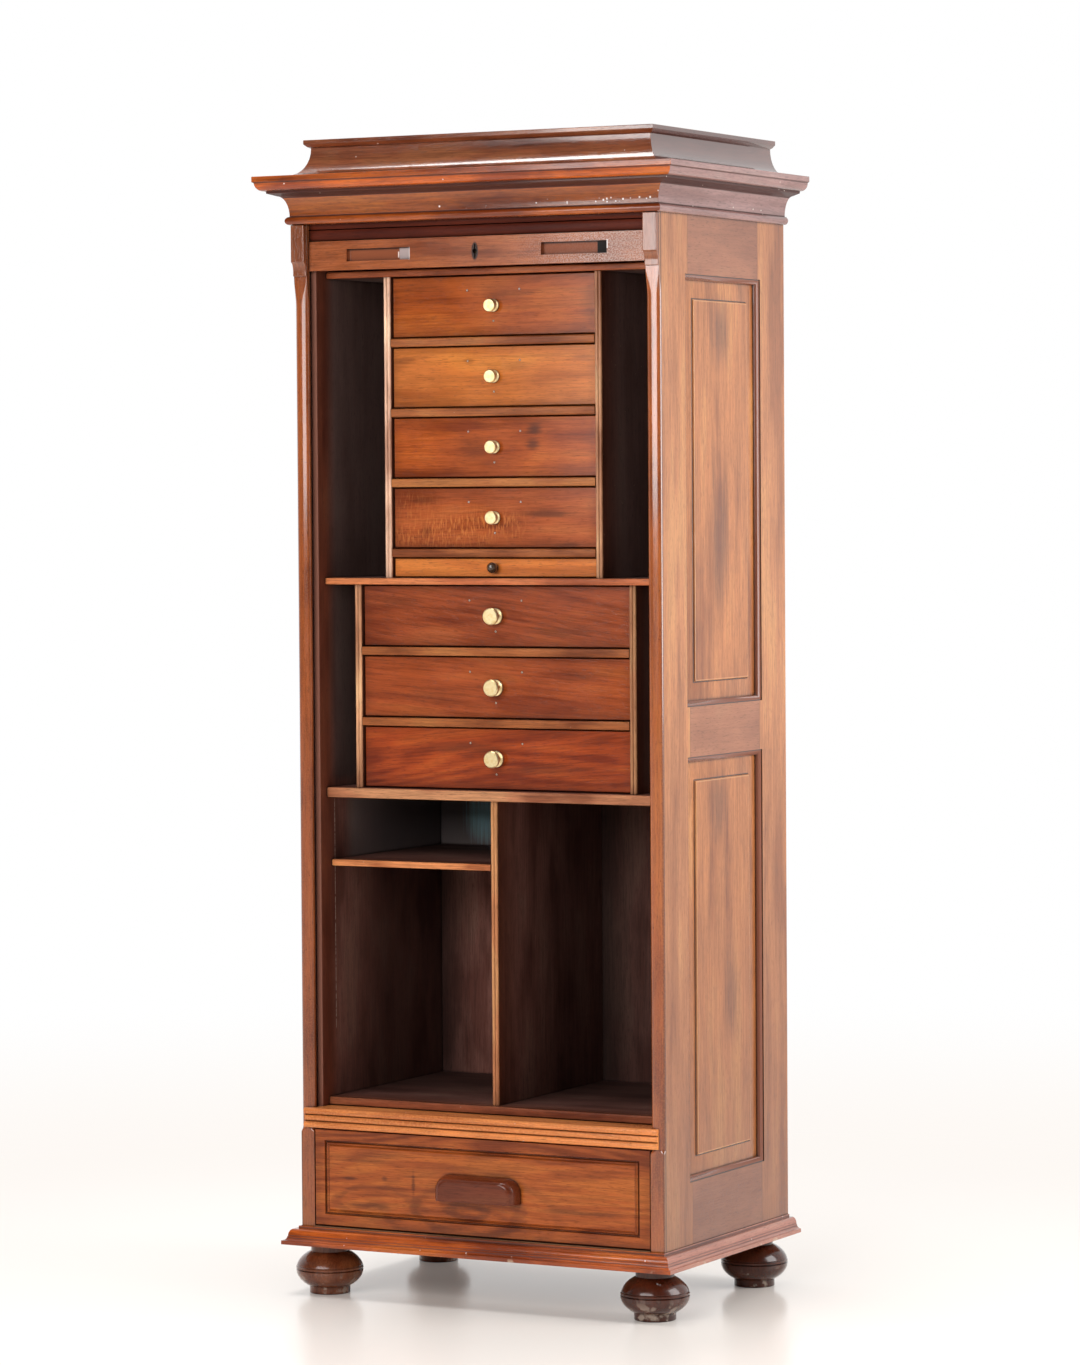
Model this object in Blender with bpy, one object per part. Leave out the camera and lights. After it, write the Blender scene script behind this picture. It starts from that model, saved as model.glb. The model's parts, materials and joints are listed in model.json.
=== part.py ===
"""Tambour cabinet: a framed carcass with an inner case of drawers behind a roller shutter.

Metres, +Z up, +X to the right seen from the front, +Y to the back.
The origin is on the floor, in the middle of the cabinet's width and depth.
"""
import bpy
import bmesh
from math import acos, asin, cos, degrees, pi, radians, sin
from mathutils import Matrix, Vector

# Clearances
GAP = 0.0003
FRONT_GAP = 0.0008
RUN_GAP = 0.0006
CUT_OVER = 0.002

# Carcass: over the side frames, and from the front datum plane to the back
CASE_W = 0.5715
CASE_D = 0.396
STILE_SETBACK = 0.004
STILE_W = 0.021
STILE_D = 0.086
REAR_STILE_D = 0.086
SIDE_T = 0.0155
LIP_T = 0.0075
STILE_ROUND = 0.0065
STILE_FLAT = 0.0014
EDGE_EASE = 0.0006
STOP_LOW_H = 0.008
STOP_TOP_H = 0.042

# Heights, stacked from the floor up
FOOT_H = 0.0708
BOTTOM_T = 0.0265
BOTTOM_OPENING_H = 0.1385
WAIST_H = 0.028
FLOOR_T = 0.0115
COMPARTMENT_H = 0.4234
LOWER_SHELF_T = 0.0143
LOWER_OPENING_H = 0.0871
UPPER_SHELF_T = 0.0095
SLIDE_OPENING_H = 0.0285
UPPER_OPENING_H = 0.0857
DIVIDER_T = 0.012
CEILING_T = 0.0095
LEAD_H = 0.041
SLATS_SHOWN_H = 0.0232
LOWER_DRAWERS = 3
UPPER_DRAWERS = 4

# Side panels
BOTTOM_RAIL_SHOWN = 0.0929
LOWER_WINDOW_H = 0.566
MID_RAIL_H = 0.0845
TOP_RAIL_SHOWN = 0.0879
QUIRK = 0.0012
OVOLO_R = 0.0065
REBATE = 0.008
FIELD_MARGIN = 0.025
FIELD_SUNK = 0.0042
FIELD_STEP = 0.003

# Cornice, from its bead up; each "out" is the reach beyond the carcass
BEAD_H = 0.0115
BEAD_OUT = 0.0078
COVE_H = 0.0285
COVE_IN = 0.0024
COVE_OUT = 0.0149
SOFFIT_RISE = 0.0036
SOFFIT_OUT = 0.0262
FILLET_H = 0.003
FILLET_STEP = 0.0024
CORNICE_OVOLO_H = 0.0114
EDGE_STEP = 0.0024
EDGE_H = 0.0092
CORNICE_OUT = 0.041

# Top cap: a cove that runs in from its foot to its neck, then a lip
CAP_COVE_H = 0.0375
CAP_FOOT_H = 0.0024
CAP_FOOT_OUT = 0.003
CAP_NECK_IN = 0.020
CAP_LIP_IN = 0.012
CAP_LIP_H = 0.0115
CAP_WALL = 0.016
CAP_PLATE_T = 0.012

# Base moulding and feet
BASE_H = 0.0255
BASE_OUT = 0.0204
BASE_FASCIA_H = 0.0055
BASE_CAVETTO = 0.0055
BASE_OVOLO_H = 0.0105
BASE_OVOLO_OUT = 0.0140
BASE_SHOULDER_OUT = 0.0072
BASE_FILLET_OUT = 0.0022
FOOT_R = 0.0475
FOOT_PAD_R = 0.0287
FOOT_NECK_R = 0.0265
FOOT_WAIST_Z = 0.0335
FOOT_LOWER_REACH = 0.0295
FOOT_UPPER_REACH = 0.0313
FOOT_RINGS_Z = (0.0340, 0.0385)
FOOT_RING_W = 0.0022
FOOT_RING_CUT = 0.0014
FOOT_INSET_SIDE = 0.0288
FOOT_INSET_FRONT = 0.031
FOOT_INSET_REAR = 0.052

# Capital blocks
CAPITAL_H = 0.0717
CAPITAL_BLOCK_H = 0.0522
CAPITAL_COVE_H = 0.0136
CAPITAL_PROUD = 0.0085
CAPITAL_FILLET_PROUD = 0.0026

# Waist rail moulding
REED_PROUD = 0.007
MIDDLE_REED_PROUD = 0.0045
REED_END_INSET = 0.008
REED_QUIRK = 0.0008
FLOOR_SEAT = 0.012

# Shutter
TRACK_W = 0.012
BEND_R = 0.052
SLAT_T = 0.009
SLAT_PITCH = 0.016
SLAT_GROOVE = 0.0055
SLAT_SHOULDER = 0.0022
CURTAIN_SPARE = 0.115
SLAT_END_GAP = 0.0012
TRACK_PLAY = 0.0006
LEAD_SETBACK = 0.006
PULL_W = 0.101
PULL_H = 0.017
PULL_DEPTH = 0.007
PULL_END_R = 0.003
PULL_SCOOP = 0.018
PULL_X = 0.1532
KEYHOLE_R = 0.0042
KEYHOLE_SLIT_W = 0.0032
KEYHOLE_H = 0.020
LOCK_W = 0.052
LOCK_H = 0.028
LOCK_T = 0.0075
LOCK_LIFT = 0.006
BOLT_W = 0.018
BOLT_T = 0.0045
BOLT_H = 0.020
BOLT_THROW = 0.009

# Inner case: how far each front edge stands behind the front datum plane
LINING_T = 0.0084
FALSE_BACK_T = 0.008
BACK_T = 0.008
BACK_BOARDS = 5
BACK_VEE = 0.0015
SHELF_SET = 0.0405
CEILING_SET = 0.050
PARTITION_SET = 0.0545
SMALL_SHELF_SET = 0.052
DRAWER_SET = 0.062
PARTITION_T = 0.010
UPPER_SLOT_W = 0.09055
LOWER_SLOT_W = 0.04025
SMALL_SHELF_T = 0.0094
SMALL_SHELF_DROP = 0.088
NOSE_R = 0.002
PARTITION_BEAD_D = 0.002

# Drawers
DRAWER_BACK_ROOM = 0.010
BOTTOM_BACK_ROOM = 0.009
DRAWER_FRONT_T = 0.016
BOTTOM_FRONT_T = 0.019
DRAWER_SIDE_T = 0.009
DRAWER_BACK_T = 0.009
DRAWER_BOTTOM_T = 0.006
DRAWER_SKIRT = 0.004
DRAWER_TOP_DROP = 0.006
DRAWER_REVEAL = 0.0005
FRONT_CHAMFER = 0.0014
SLIDE_BOARD_T = 0.014

# The bottom drawer's scored bead: (across, deep) in shares of its width and depth, from the margin in
SCORE_INSET = 0.0160
SCORE_W = 0.0080
SCORE_DEPTH = 0.0032
SCORE_BEAD = (
    (0, 0), (0.14, 1), (0.28, 1), (0.38, 0.38), (0.52, 0.15), (0.66, 0.38), (0.76, 0.62), (1, 0),
)

# Knobs and handle; a knob's shape is (across, out) in shares of its radius, from the drawer front out
UPPER_KNOB_R = 0.0092
LOWER_KNOB_R = 0.0118
DISC_KNOB = (
    (0.95, 0), (0.95, 0.20), (0.50, 0.42), (0.50, 0.72), (0.90, 0.92),
    (1, 1.04), (1, 1.32), (0.88, 1.45), (0, 1.45),
)
SLIDE_KNOB_R = 0.0076
BALL_KNOB = (
    (0.56, 0), (0.56, 0.42), (0.80, 0.65), (0.97, 1.0), (0.97, 1.35),
    (0.80, 1.75), (0.43, 2.10), (0, 2.20),
)
SPIGOT_R = 0.002
HANDLE_W = 0.130
HANDLE_H = 0.035
HANDLE_PROUD = 0.023
HANDLE_END_R = 0.014
HANDLE_TOP_R = 0.008
HANDLE_ROUND = 0.020
HANDLE_DROP = 0.0185
GRIP_W = 0.084
GRIP_H = 0.014
GRIP_T = 0.012
HANDLE_SKIN = 0.005

# Facets
ROUND_STEPS = 24
KNOB_STEPS = 20
BORE_STEPS = 10
KEYHOLE_STEPS = 14
ARC_STEPS = 6
BEND_STEPS = 10

# Levels that follow from the heights
UNDERSIDE_Z = FOOT_H + GAP
BASE_TOP_Z = UNDERSIDE_Z + BASE_H
BOTTOM_TOP_Z = UNDERSIDE_Z + BOTTOM_T
WAIST_Z = BOTTOM_TOP_Z + BOTTOM_OPENING_H
WAIST_TOP_Z = WAIST_Z + WAIST_H
FLOOR_TOP_Z = WAIST_TOP_Z + FLOOR_T
LOWER_SHELF_Z = FLOOR_TOP_Z + COMPARTMENT_H
LOWER_TIER_Z = LOWER_SHELF_Z + LOWER_SHELF_T
LOWER_PITCH = LOWER_OPENING_H + DIVIDER_T
UPPER_SHELF_Z = LOWER_TIER_Z + LOWER_DRAWERS * LOWER_PITCH - DIVIDER_T
SLIDE_Z = UPPER_SHELF_Z + UPPER_SHELF_T
UPPER_TIER_Z = SLIDE_Z + SLIDE_OPENING_H + DIVIDER_T
UPPER_PITCH = UPPER_OPENING_H + DIVIDER_T
CEILING_Z = UPPER_TIER_Z + UPPER_DRAWERS * UPPER_PITCH - DIVIDER_T
LEAD_Z = CEILING_Z + CEILING_T
LEAD_TOP_Z = LEAD_Z + LEAD_H
CORNICE_Z = LEAD_TOP_Z + SLATS_SHOWN_H
CORNICE_H = BEAD_H + COVE_H + SOFFIT_RISE + FILLET_H + CORNICE_OVOLO_H + EDGE_H
CORNICE_TOP_Z = CORNICE_Z + CORNICE_H
CAP_TOP_Z = CORNICE_TOP_Z + CAP_FOOT_H + CAP_COVE_H + CAP_LIP_H
CAPITAL_Z = CORNICE_Z - CAPITAL_H

# Planes that follow from the widths and depths
DATUM_Y = -(CASE_D - CORNICE_OUT) / 2
REAR_Y = DATUM_Y + CASE_D
STILE_Y = DATUM_Y + STILE_SETBACK
LIP_Y = STILE_Y + LIP_T
LINING_Y = LIP_Y + TRACK_W
BACK_Y = REAR_Y - BACK_T
LINING_REAR_Y = BACK_Y - TRACK_W
FALSE_BACK_Y = LINING_REAR_Y - FALSE_BACK_T
DRAWER_REAR_Y = FALSE_BACK_Y - DRAWER_BACK_ROOM
BOTTOM_DRAWER_REAR_Y = FALSE_BACK_Y - BOTTOM_BACK_ROOM
CASE_X = CASE_W / 2
STILE_X = CASE_X - STILE_W
SIDE_X = CASE_X - SIDE_T
INNER_X = SIDE_X - GAP - LINING_T
UPPER_BAY_X = INNER_X - UPPER_SLOT_W - PARTITION_T
LOWER_BAY_X = INNER_X - LOWER_SLOT_W - PARTITION_T
LINING_TOP_Z = CORNICE_TOP_Z - TRACK_W
SHUTTER_TRAVEL = LEAD_Z - WAIST_TOP_Z - RUN_GAP

# Finishes: colour, roughness, metallic
FINISHES = {
    "carcass wood": ((0.24, 0.085, 0.035, 1), 0.35, 0.0),
    "moulding wood": ((0.20, 0.065, 0.028, 1), 0.32, 0.0),
    "panel wood": ((0.29, 0.115, 0.048, 1), 0.38, 0.0),
    "inner wood": ((0.12, 0.040, 0.020, 1), 0.5, 0.0),
    "edge wood": ((0.34, 0.155, 0.065, 1), 0.45, 0.0),
    "upper drawer wood": ((0.33, 0.110, 0.035, 1), 0.35, 0.0),
    "lower drawer wood": ((0.20, 0.045, 0.018, 1), 0.33, 0.0),
    "slide wood": ((0.42, 0.165, 0.045, 1), 0.4, 0.0),
    "dark wood": ((0.07, 0.022, 0.014, 1), 0.25, 0.0),
    "back wood": ((0.25, 0.13, 0.065, 1), 0.65, 0.0),
    "brass": ((0.83, 0.63, 0.28, 1), 0.22, 1.0),
    "lock steel": ((0.35, 0.33, 0.31, 1), 0.4, 1.0),
}


def finish_material(kind):
    """The Principled material for one finish, made on first use."""
    material = bpy.data.materials.get(kind)
    if material is None:
        color, roughness, metallic = FINISHES[kind]
        material = bpy.data.materials.new(kind)
        material.use_nodes = True
        shader = material.node_tree.nodes["Principled BSDF"]
        shader.inputs["Base Color"].default_value = color
        shader.inputs["Roughness"].default_value = roughness
        shader.inputs["Metallic"].default_value = metallic
        material.diffuse_color = color
    return material


def add_piece(name, bm, kind, origin=(0, 0, 0), parent=None, smooth=False):
    """Make the named object from a mesh built in world metres, with its origin where given."""
    bmesh.ops.recalc_face_normals(bm, faces=bm.faces)
    mesh = bpy.data.meshes.new(name)
    bm.to_mesh(mesh)
    bm.free()
    mesh.transform(Matrix.Translation(-Vector(origin)))
    if smooth:
        mesh.shade_smooth()
        mesh.set_sharp_from_angle(angle=radians(35))
    mesh.materials.append(finish_material(kind))
    piece = bpy.data.objects.new(name, mesh)
    bpy.context.scene.collection.objects.link(piece)
    piece["world_origin"] = origin
    piece.location = origin
    if parent is not None:
        piece.parent = parent
        piece.location = Vector(origin) - Vector(parent["world_origin"])
    return piece


def loft(rings):
    """A closed mesh through rings of equally many points, capped at both ends."""
    bm = bmesh.new()
    rows = [[bm.verts.new(point) for point in ring] for ring in rings]
    count = len(rows[0])
    for lower, upper in zip(rows, rows[1:]):
        for i in range(count):
            j = (i + 1) % count
            bm.faces.new((lower[i], lower[j], upper[j], upper[i]))
    bm.faces.new(rows[0])
    bm.faces.new(rows[-1])
    bmesh.ops.recalc_face_normals(bm, faces=bm.faces)
    return bm


def box(x0, x1, y0, y1, z0, z1):
    """A plain block between two corners."""
    plan = ((x0, y0), (x1, y0), (x1, y1), (x0, y1))
    return loft([[(x, y, z) for x, y in plan] for z in (z0, z1)])


def extrude_x(outline, x0, x1):
    """An outline of (y, z) points drawn along X."""
    return loft([[(x, y, z) for y, z in outline] for x in (x0, x1)])


def extrude_y(outline, y0, y1):
    """An outline of (x, z) points drawn along Y."""
    return loft([[(x, y, z) for x, z in outline] for y in (y0, y1)])


def extrude_z(outline, z0, z1):
    """An outline of (x, y) points drawn along Z."""
    return loft([[(x, y, z) for x, y in outline] for z in (z0, z1)])


def arc(center, radii, start, end, steps=ARC_STEPS):
    """Points on an ellipse from one angle to another, in degrees."""
    angles = [radians(start + (end - start) * i / steps) for i in range(steps + 1)]
    return [(center[0] + radii[0] * cos(a), center[1] + radii[1] * sin(a)) for a in angles]


def turned(profile, base, axis, steps):
    """Turn a profile of (radius, height) points about an axis; it starts and ends at radius 0."""
    bm = bmesh.new()
    side = Vector((1, 0, 0))
    axis = Vector(axis)
    base = Vector(base)
    chain = [bm.verts.new(base + side * radius + axis * height) for radius, height in profile]
    edges = [bm.edges.new(pair) for pair in zip(chain, chain[1:])]
    bmesh.ops.spin(bm, geom=chain + edges, cent=base, axis=axis, angle=2 * pi, steps=steps, use_merge=True)
    bmesh.ops.remove_doubles(bm, verts=bm.verts, dist=0.00002)
    bmesh.ops.recalc_face_normals(bm, faces=bm.faces)
    return bm


def temporary(bm):
    """A throwaway object that holds a mesh for a Boolean."""
    mesh = bpy.data.meshes.new("temporary")
    bm.to_mesh(mesh)
    bm.free()
    holder = bpy.data.objects.new("temporary", mesh)
    bpy.context.scene.collection.objects.link(holder)
    return holder


def boolean(bm, tool, operation):
    """The mesh after a Boolean with the tool mesh; both inputs are used up."""
    base_object = temporary(bm)
    tool_object = temporary(tool)
    modifier = base_object.modifiers.new("boolean", "BOOLEAN")
    modifier.operation = operation
    modifier.solver = "EXACT"
    modifier.object = tool_object
    result = bmesh.new()
    result.from_object(base_object, bpy.context.evaluated_depsgraph_get())
    bpy.data.objects.remove(base_object)
    bpy.data.objects.remove(tool_object)
    return result


def cut(bm, tool):
    return boolean(bm, tool, "DIFFERENCE")


def join(bm, tool):
    return boolean(bm, tool, "UNION")


def smoothstep(t):
    return t * t * (3 - 2 * t)


def nosed_outline(front, rear, low, high):
    """A board's section with its two front arrises rounded over."""
    lower = arc((front + NOSE_R, low + NOSE_R), (NOSE_R, NOSE_R), 270, 180, 3)
    upper = arc((front + NOSE_R, high - NOSE_R), (NOSE_R, NOSE_R), 180, 90, 3)
    return lower + upper + [(rear, high), (rear, low)]


def beaded_outline(front, rear, low, high):
    """A board's section with two beads side by side along its front edge."""
    bead = (high - low) / 4
    radii = (PARTITION_BEAD_D, bead)
    first = arc((front + PARTITION_BEAD_D, low + bead), radii, 270, 90)
    second = arc((front + PARTITION_BEAD_D, high - bead), radii, 270, 90)
    return first + second[1:] + [(rear, high), (rear, low)]


def shelf(name, x0, x1, setback, z0, z1, kind="edge wood"):
    """A level board from its front edge back to the false back."""
    outline = nosed_outline(DATUM_Y + setback, FALSE_BACK_Y - GAP, z0, z1 - GAP)
    add_piece(name, extrude_x(outline, x0, x1), kind)


def partition(name, x0, x1, setback, z0, z1):
    """An upright board from its front edge back to the false back."""
    outline = [(x, y) for y, x in beaded_outline(DATUM_Y + setback, FALSE_BACK_Y - GAP, x0, x1)]
    add_piece(name, extrude_z(outline, z0, z1 - GAP), "edge wood")


def stile_section(side, share):
    """The side frame's plan: a front stile with a lip that hides the track, then the thinner frame.

    The share says how far the stile's front is rounded over, from eased arrises to nearly its whole width.
    """
    wide = EDGE_EASE + ((STILE_W - STILE_FLAT) / 2 - EDGE_EASE) * share
    deep = EDGE_EASE + (STILE_ROUND - EDGE_EASE) * share
    inner_arc = arc((STILE_W - wide, deep), (wide, deep), 0, -90)
    outer_arc = arc((wide, deep), (wide, deep), -90, -180)
    rear = REAR_Y - STILE_Y
    corners = [(0, rear), (SIDE_T, rear), (SIDE_T, LIP_T), (STILE_W, LIP_T)]
    return [(side * (CASE_X - u), STILE_Y + v) for u, v in corners + inner_arc + outer_arc]


def side_windows():
    """The two panel openings of a side frame, as (y0, y1, z0, z1)."""
    y0 = STILE_Y + STILE_D
    y1 = REAR_Y - REAR_STILE_D
    lower_z = BASE_TOP_Z + BOTTOM_RAIL_SHOWN
    lower_top = lower_z + LOWER_WINDOW_H
    return {
        "lower": (y0, y1, lower_z, lower_top),
        "upper": (y0, y1, lower_top + MID_RAIL_H, CORNICE_Z - TOP_RAIL_SHOWN),
    }


def window_ring(side, window, depth, spread):
    """A window's rectangle at a depth under the outer face, spread on all four sides."""
    y0, y1, z0, z1 = window
    x = side * (CASE_X - depth)
    return [
        (x, y0 - spread, z0 - spread),
        (x, y1 + spread, z0 - spread),
        (x, y1 + spread, z1 + spread),
        (x, y0 - spread, z1 + spread),
    ]


def panel_seat():
    """Depth under the outer face at which a panel's tongue starts."""
    return QUIRK + OVOLO_R + GAP


def side_frame(name, side):
    """Stiles and rails in one glued frame, moulded round both panel openings."""
    waist_stop = WAIST_Z - STOP_LOW_H
    stations = [(UNDERSIDE_Z, 0)]
    stops = ((waist_stop, STOP_LOW_H, True), (CAPITAL_Z - STOP_TOP_H, STOP_TOP_H, False))
    for start, length, rising in stops:
        for i in range(ARC_STEPS + 1):
            t = i / ARC_STEPS
            stations.append((start + length * t, smoothstep(t) if rising else 1 - smoothstep(t)))
    stations.append((CORNICE_TOP_Z - GAP, 0))
    rings = [[(x, y, z) for x, y in stile_section(side, share)] for z, share in stations]
    frame = loft(rings)
    for window in side_windows().values():
        ovolo = arc((QUIRK + OVOLO_R, OVOLO_R), (OVOLO_R, OVOLO_R), 180, 270)
        steps = [(-CUT_OVER, OVOLO_R + QUIRK), (QUIRK, OVOLO_R + QUIRK)] + ovolo + [(SIDE_T + CUT_OVER, 0)]
        frame = cut(frame, loft([window_ring(side, window, depth, spread) for depth, spread in steps]))
        rebate = ((panel_seat(), REBATE), (SIDE_T + CUT_OVER, REBATE))
        frame = cut(frame, loft([window_ring(side, window, depth, spread) for depth, spread in rebate]))
    add_piece(name, frame, "carcass wood")


def side_panel(name, side, window):
    """A fielded panel in its rebate: tongue, bevel, step and raised field."""
    tongue = REBATE - GAP
    front = panel_seat() + GAP
    steps = (
        (SIDE_T - GAP, tongue),
        (front, tongue),
        (front, -GAP),
        (FIELD_SUNK + FIELD_STEP, -FIELD_MARGIN),
        (FIELD_SUNK, -FIELD_MARGIN - FIELD_STEP / 2),
    )
    panel = loft([window_ring(side, window, depth, spread) for depth, spread in steps])
    add_piece(name, panel, "panel wood")


def capital(name, side):
    """A block with a cove and a fillet under it, planted on the stile."""
    back = STILE_Y - GAP
    face = STILE_Y - CAPITAL_PROUD
    fillet = STILE_Y - CAPITAL_FILLET_PROUD
    block_z = CORNICE_Z - CAPITAL_BLOCK_H
    cove_z = block_z - CAPITAL_COVE_H
    cove = arc((face, cove_z), (fillet - face, CAPITAL_COVE_H), 90, 0)
    outline = [(back, CORNICE_Z - GAP), (face, CORNICE_Z - GAP), (face, block_z + EDGE_EASE)]
    outline += cove + [(fillet, CAPITAL_Z), (back, CAPITAL_Z)]
    add_piece(name, extrude_x(outline, side * STILE_X, side * CASE_X), "carcass wood")


def moulding_sweep(profile):
    """Run a closed (reach, height) profile round the left, front and right of the carcass, mitred."""
    def station(x_side, rear):
        ring = []
        for reach, z in profile:
            y = REAR_Y if rear else DATUM_Y - reach
            ring.append((x_side * (CASE_X + reach), y, z))
        return ring
    return loft([station(-1, True), station(-1, False), station(1, False), station(1, True)])


def cornice():
    """Bead, cove, soffit, fillet, ovolo and edge, from the bottom up."""
    bead_center = (COVE_IN, CORNICE_Z + BEAD_H / 2)
    profile = [(GAP, CORNICE_Z)]
    profile += arc(bead_center, (BEAD_OUT - COVE_IN, BEAD_H / 2), -90, 90)
    cove_z = CORNICE_Z + BEAD_H
    profile += arc((COVE_OUT, cove_z), (COVE_OUT - COVE_IN, COVE_H), 180, 90, 8)[1:]
    soffit_z = cove_z + COVE_H + SOFFIT_RISE
    profile.append((SOFFIT_OUT, soffit_z))
    profile.append((SOFFIT_OUT, soffit_z + FILLET_H))
    ovolo_in = SOFFIT_OUT + FILLET_STEP
    ovolo_out = CORNICE_OUT - EDGE_STEP
    ovolo_z = soffit_z + FILLET_H + CORNICE_OVOLO_H
    profile += arc((ovolo_in, ovolo_z), (ovolo_out - ovolo_in, CORNICE_OVOLO_H), -90, 0)
    profile.append((CORNICE_OUT, ovolo_z + EDGE_STEP / 2))
    profile.append((CORNICE_OUT, CORNICE_TOP_Z - GAP))
    profile.append((GAP, CORNICE_TOP_Z - GAP))
    add_piece("cornice", moulding_sweep(profile), "moulding wood")


def top_cap():
    """A lid whose cove runs in to a neck under a small lip, hollow underneath."""
    cove_z = CORNICE_TOP_Z + CAP_FOOT_H
    neck_z = cove_z + CAP_COVE_H
    steps = [(CAP_FOOT_OUT, CORNICE_TOP_Z)]
    steps += arc((CAP_FOOT_OUT, neck_z), (CAP_FOOT_OUT + CAP_NECK_IN, CAP_COVE_H), 270, 180, 8)
    lip_face = CAP_LIP_H / 2
    steps.append((-CAP_NECK_IN + (CAP_NECK_IN - CAP_LIP_IN) / 2, neck_z + CAP_LIP_H / 6))
    steps.append((-CAP_LIP_IN, neck_z + lip_face))
    steps.append((-CAP_LIP_IN, CAP_TOP_Z - EDGE_EASE))
    steps.append((-CAP_LIP_IN - EDGE_EASE, CAP_TOP_Z))

    def ring(reach, z):
        x = CASE_X + reach
        return [(-x, REAR_Y, z), (-x, DATUM_Y - reach, z), (x, DATUM_Y - reach, z), (x, REAR_Y, z)]

    cap = loft([ring(reach, z) for reach, z in steps])
    inset = CAP_NECK_IN + CAP_WALL
    hollow = box(
        -CASE_X + inset, CASE_X - inset, DATUM_Y + inset, REAR_Y - CAP_WALL,
        CORNICE_TOP_Z - CUT_OVER, CAP_TOP_Z - CAP_PLATE_T,
    )
    add_piece("top_cap", cut(cap, hollow), "moulding wood")


def base_moulding():
    """Fascia, cavetto, ovolo, shoulder and fillet, from the bottom up."""
    top = BASE_TOP_Z - GAP
    cavetto_z = UNDERSIDE_Z + BASE_FASCIA_H
    ovolo_z = cavetto_z + BASE_CAVETTO
    shoulder_z = ovolo_z + BASE_OVOLO_H
    profile = [(GAP, UNDERSIDE_Z), (BASE_OUT, UNDERSIDE_Z), (BASE_OUT, cavetto_z)]
    profile += arc((BASE_OUT, ovolo_z), (BASE_OUT - BASE_OVOLO_OUT, BASE_CAVETTO), 270, 180)[1:]
    profile += arc(
        (BASE_SHOULDER_OUT, ovolo_z), (BASE_OVOLO_OUT - BASE_SHOULDER_OUT - EDGE_EASE, BASE_OVOLO_H), 0, 90
    )
    profile.append((BASE_FILLET_OUT, shoulder_z))
    profile.append((BASE_FILLET_OUT, top))
    profile.append((GAP, top))
    add_piece("base_moulding", moulding_sweep(profile), "moulding wood")


def bun_turn(radius):
    """The angle, in degrees up or down from its waist, at which a foot's bun has a radius."""
    return degrees(acos(radius / FOOT_R))


def foot(name, x, y):
    """A bun turned with two rings scored round its waist, on a short round pad and under a neck."""
    top = UNDERSIDE_Z - GAP
    waist = (0, FOOT_WAIST_Z)
    lower_turn = degrees(asin((FOOT_WAIST_Z - FOOT_RINGS_Z[0] + FOOT_RING_W / 2) / FOOT_LOWER_REACH))
    upper_turn = degrees(asin((FOOT_RINGS_Z[1] + FOOT_RING_W / 2 - FOOT_WAIST_Z) / FOOT_UPPER_REACH))
    profile = [(0, 0), (FOOT_PAD_R - EDGE_EASE, 0), (FOOT_PAD_R, EDGE_EASE)]
    profile += arc(waist, (FOOT_R, FOOT_LOWER_REACH), -bun_turn(FOOT_PAD_R), -lower_turn)
    profile.append((FOOT_R - FOOT_RING_CUT, FOOT_RINGS_Z[0]))
    profile.append((FOOT_R, FOOT_RINGS_Z[0] + FOOT_RING_W / 2))
    profile.append((FOOT_R, FOOT_RINGS_Z[1] - FOOT_RING_W / 2))
    profile.append((FOOT_R - FOOT_RING_CUT, FOOT_RINGS_Z[1]))
    profile += arc(waist, (FOOT_R, FOOT_UPPER_REACH), upper_turn, bun_turn(FOOT_NECK_R))
    profile += [(FOOT_NECK_R, top), (0, top)]
    add_piece(name, turned(profile, (x, y, 0), (0, 0, 1), ROUND_STEPS), "dark wood", smooth=True)


def feet():
    front_y = DATUM_Y + FOOT_INSET_FRONT
    rear_y = REAR_Y - FOOT_INSET_REAR
    x = CASE_X - FOOT_INSET_SIDE
    foot("front_left_foot", -x, front_y)
    foot("front_right_foot", x, front_y)
    foot("rear_left_foot", -x, rear_y)
    foot("rear_right_foot", x, rear_y)


def bottom_board():
    """The carcass floor, notched round the stiles' lips."""
    wide = SIDE_X - GAP
    narrow = STILE_X - GAP
    notch_y = LIP_Y + GAP
    front = DATUM_Y + GAP
    rear = BACK_Y - GAP
    outline = [
        (-wide, rear), (-wide, notch_y), (-narrow, notch_y), (-narrow, front),
        (narrow, front), (narrow, notch_y), (wide, notch_y), (wide, rear),
    ]
    add_piece("bottom_board", extrude_z(outline, UNDERSIDE_Z, BOTTOM_TOP_Z - GAP), "inner wood")


def frieze_rail():
    """The rail behind the cornice that closes the track in front."""
    x = STILE_X - GAP
    rail = box(-x, x, DATUM_Y + GAP, LIP_Y - GAP, CORNICE_Z, CORNICE_TOP_Z - GAP)
    add_piece("frieze_rail", rail, "carcass wood")


def bolt_depths():
    """Front and rear of the lock bolt, from front to back."""
    middle = lock_rear() - LOCK_T / 2
    return middle - BOLT_T / 2, middle + BOLT_T / 2


def lead_rear():
    return LINING_Y - TRACK_PLAY


def lock_rear():
    return lead_rear() - GAP


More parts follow.
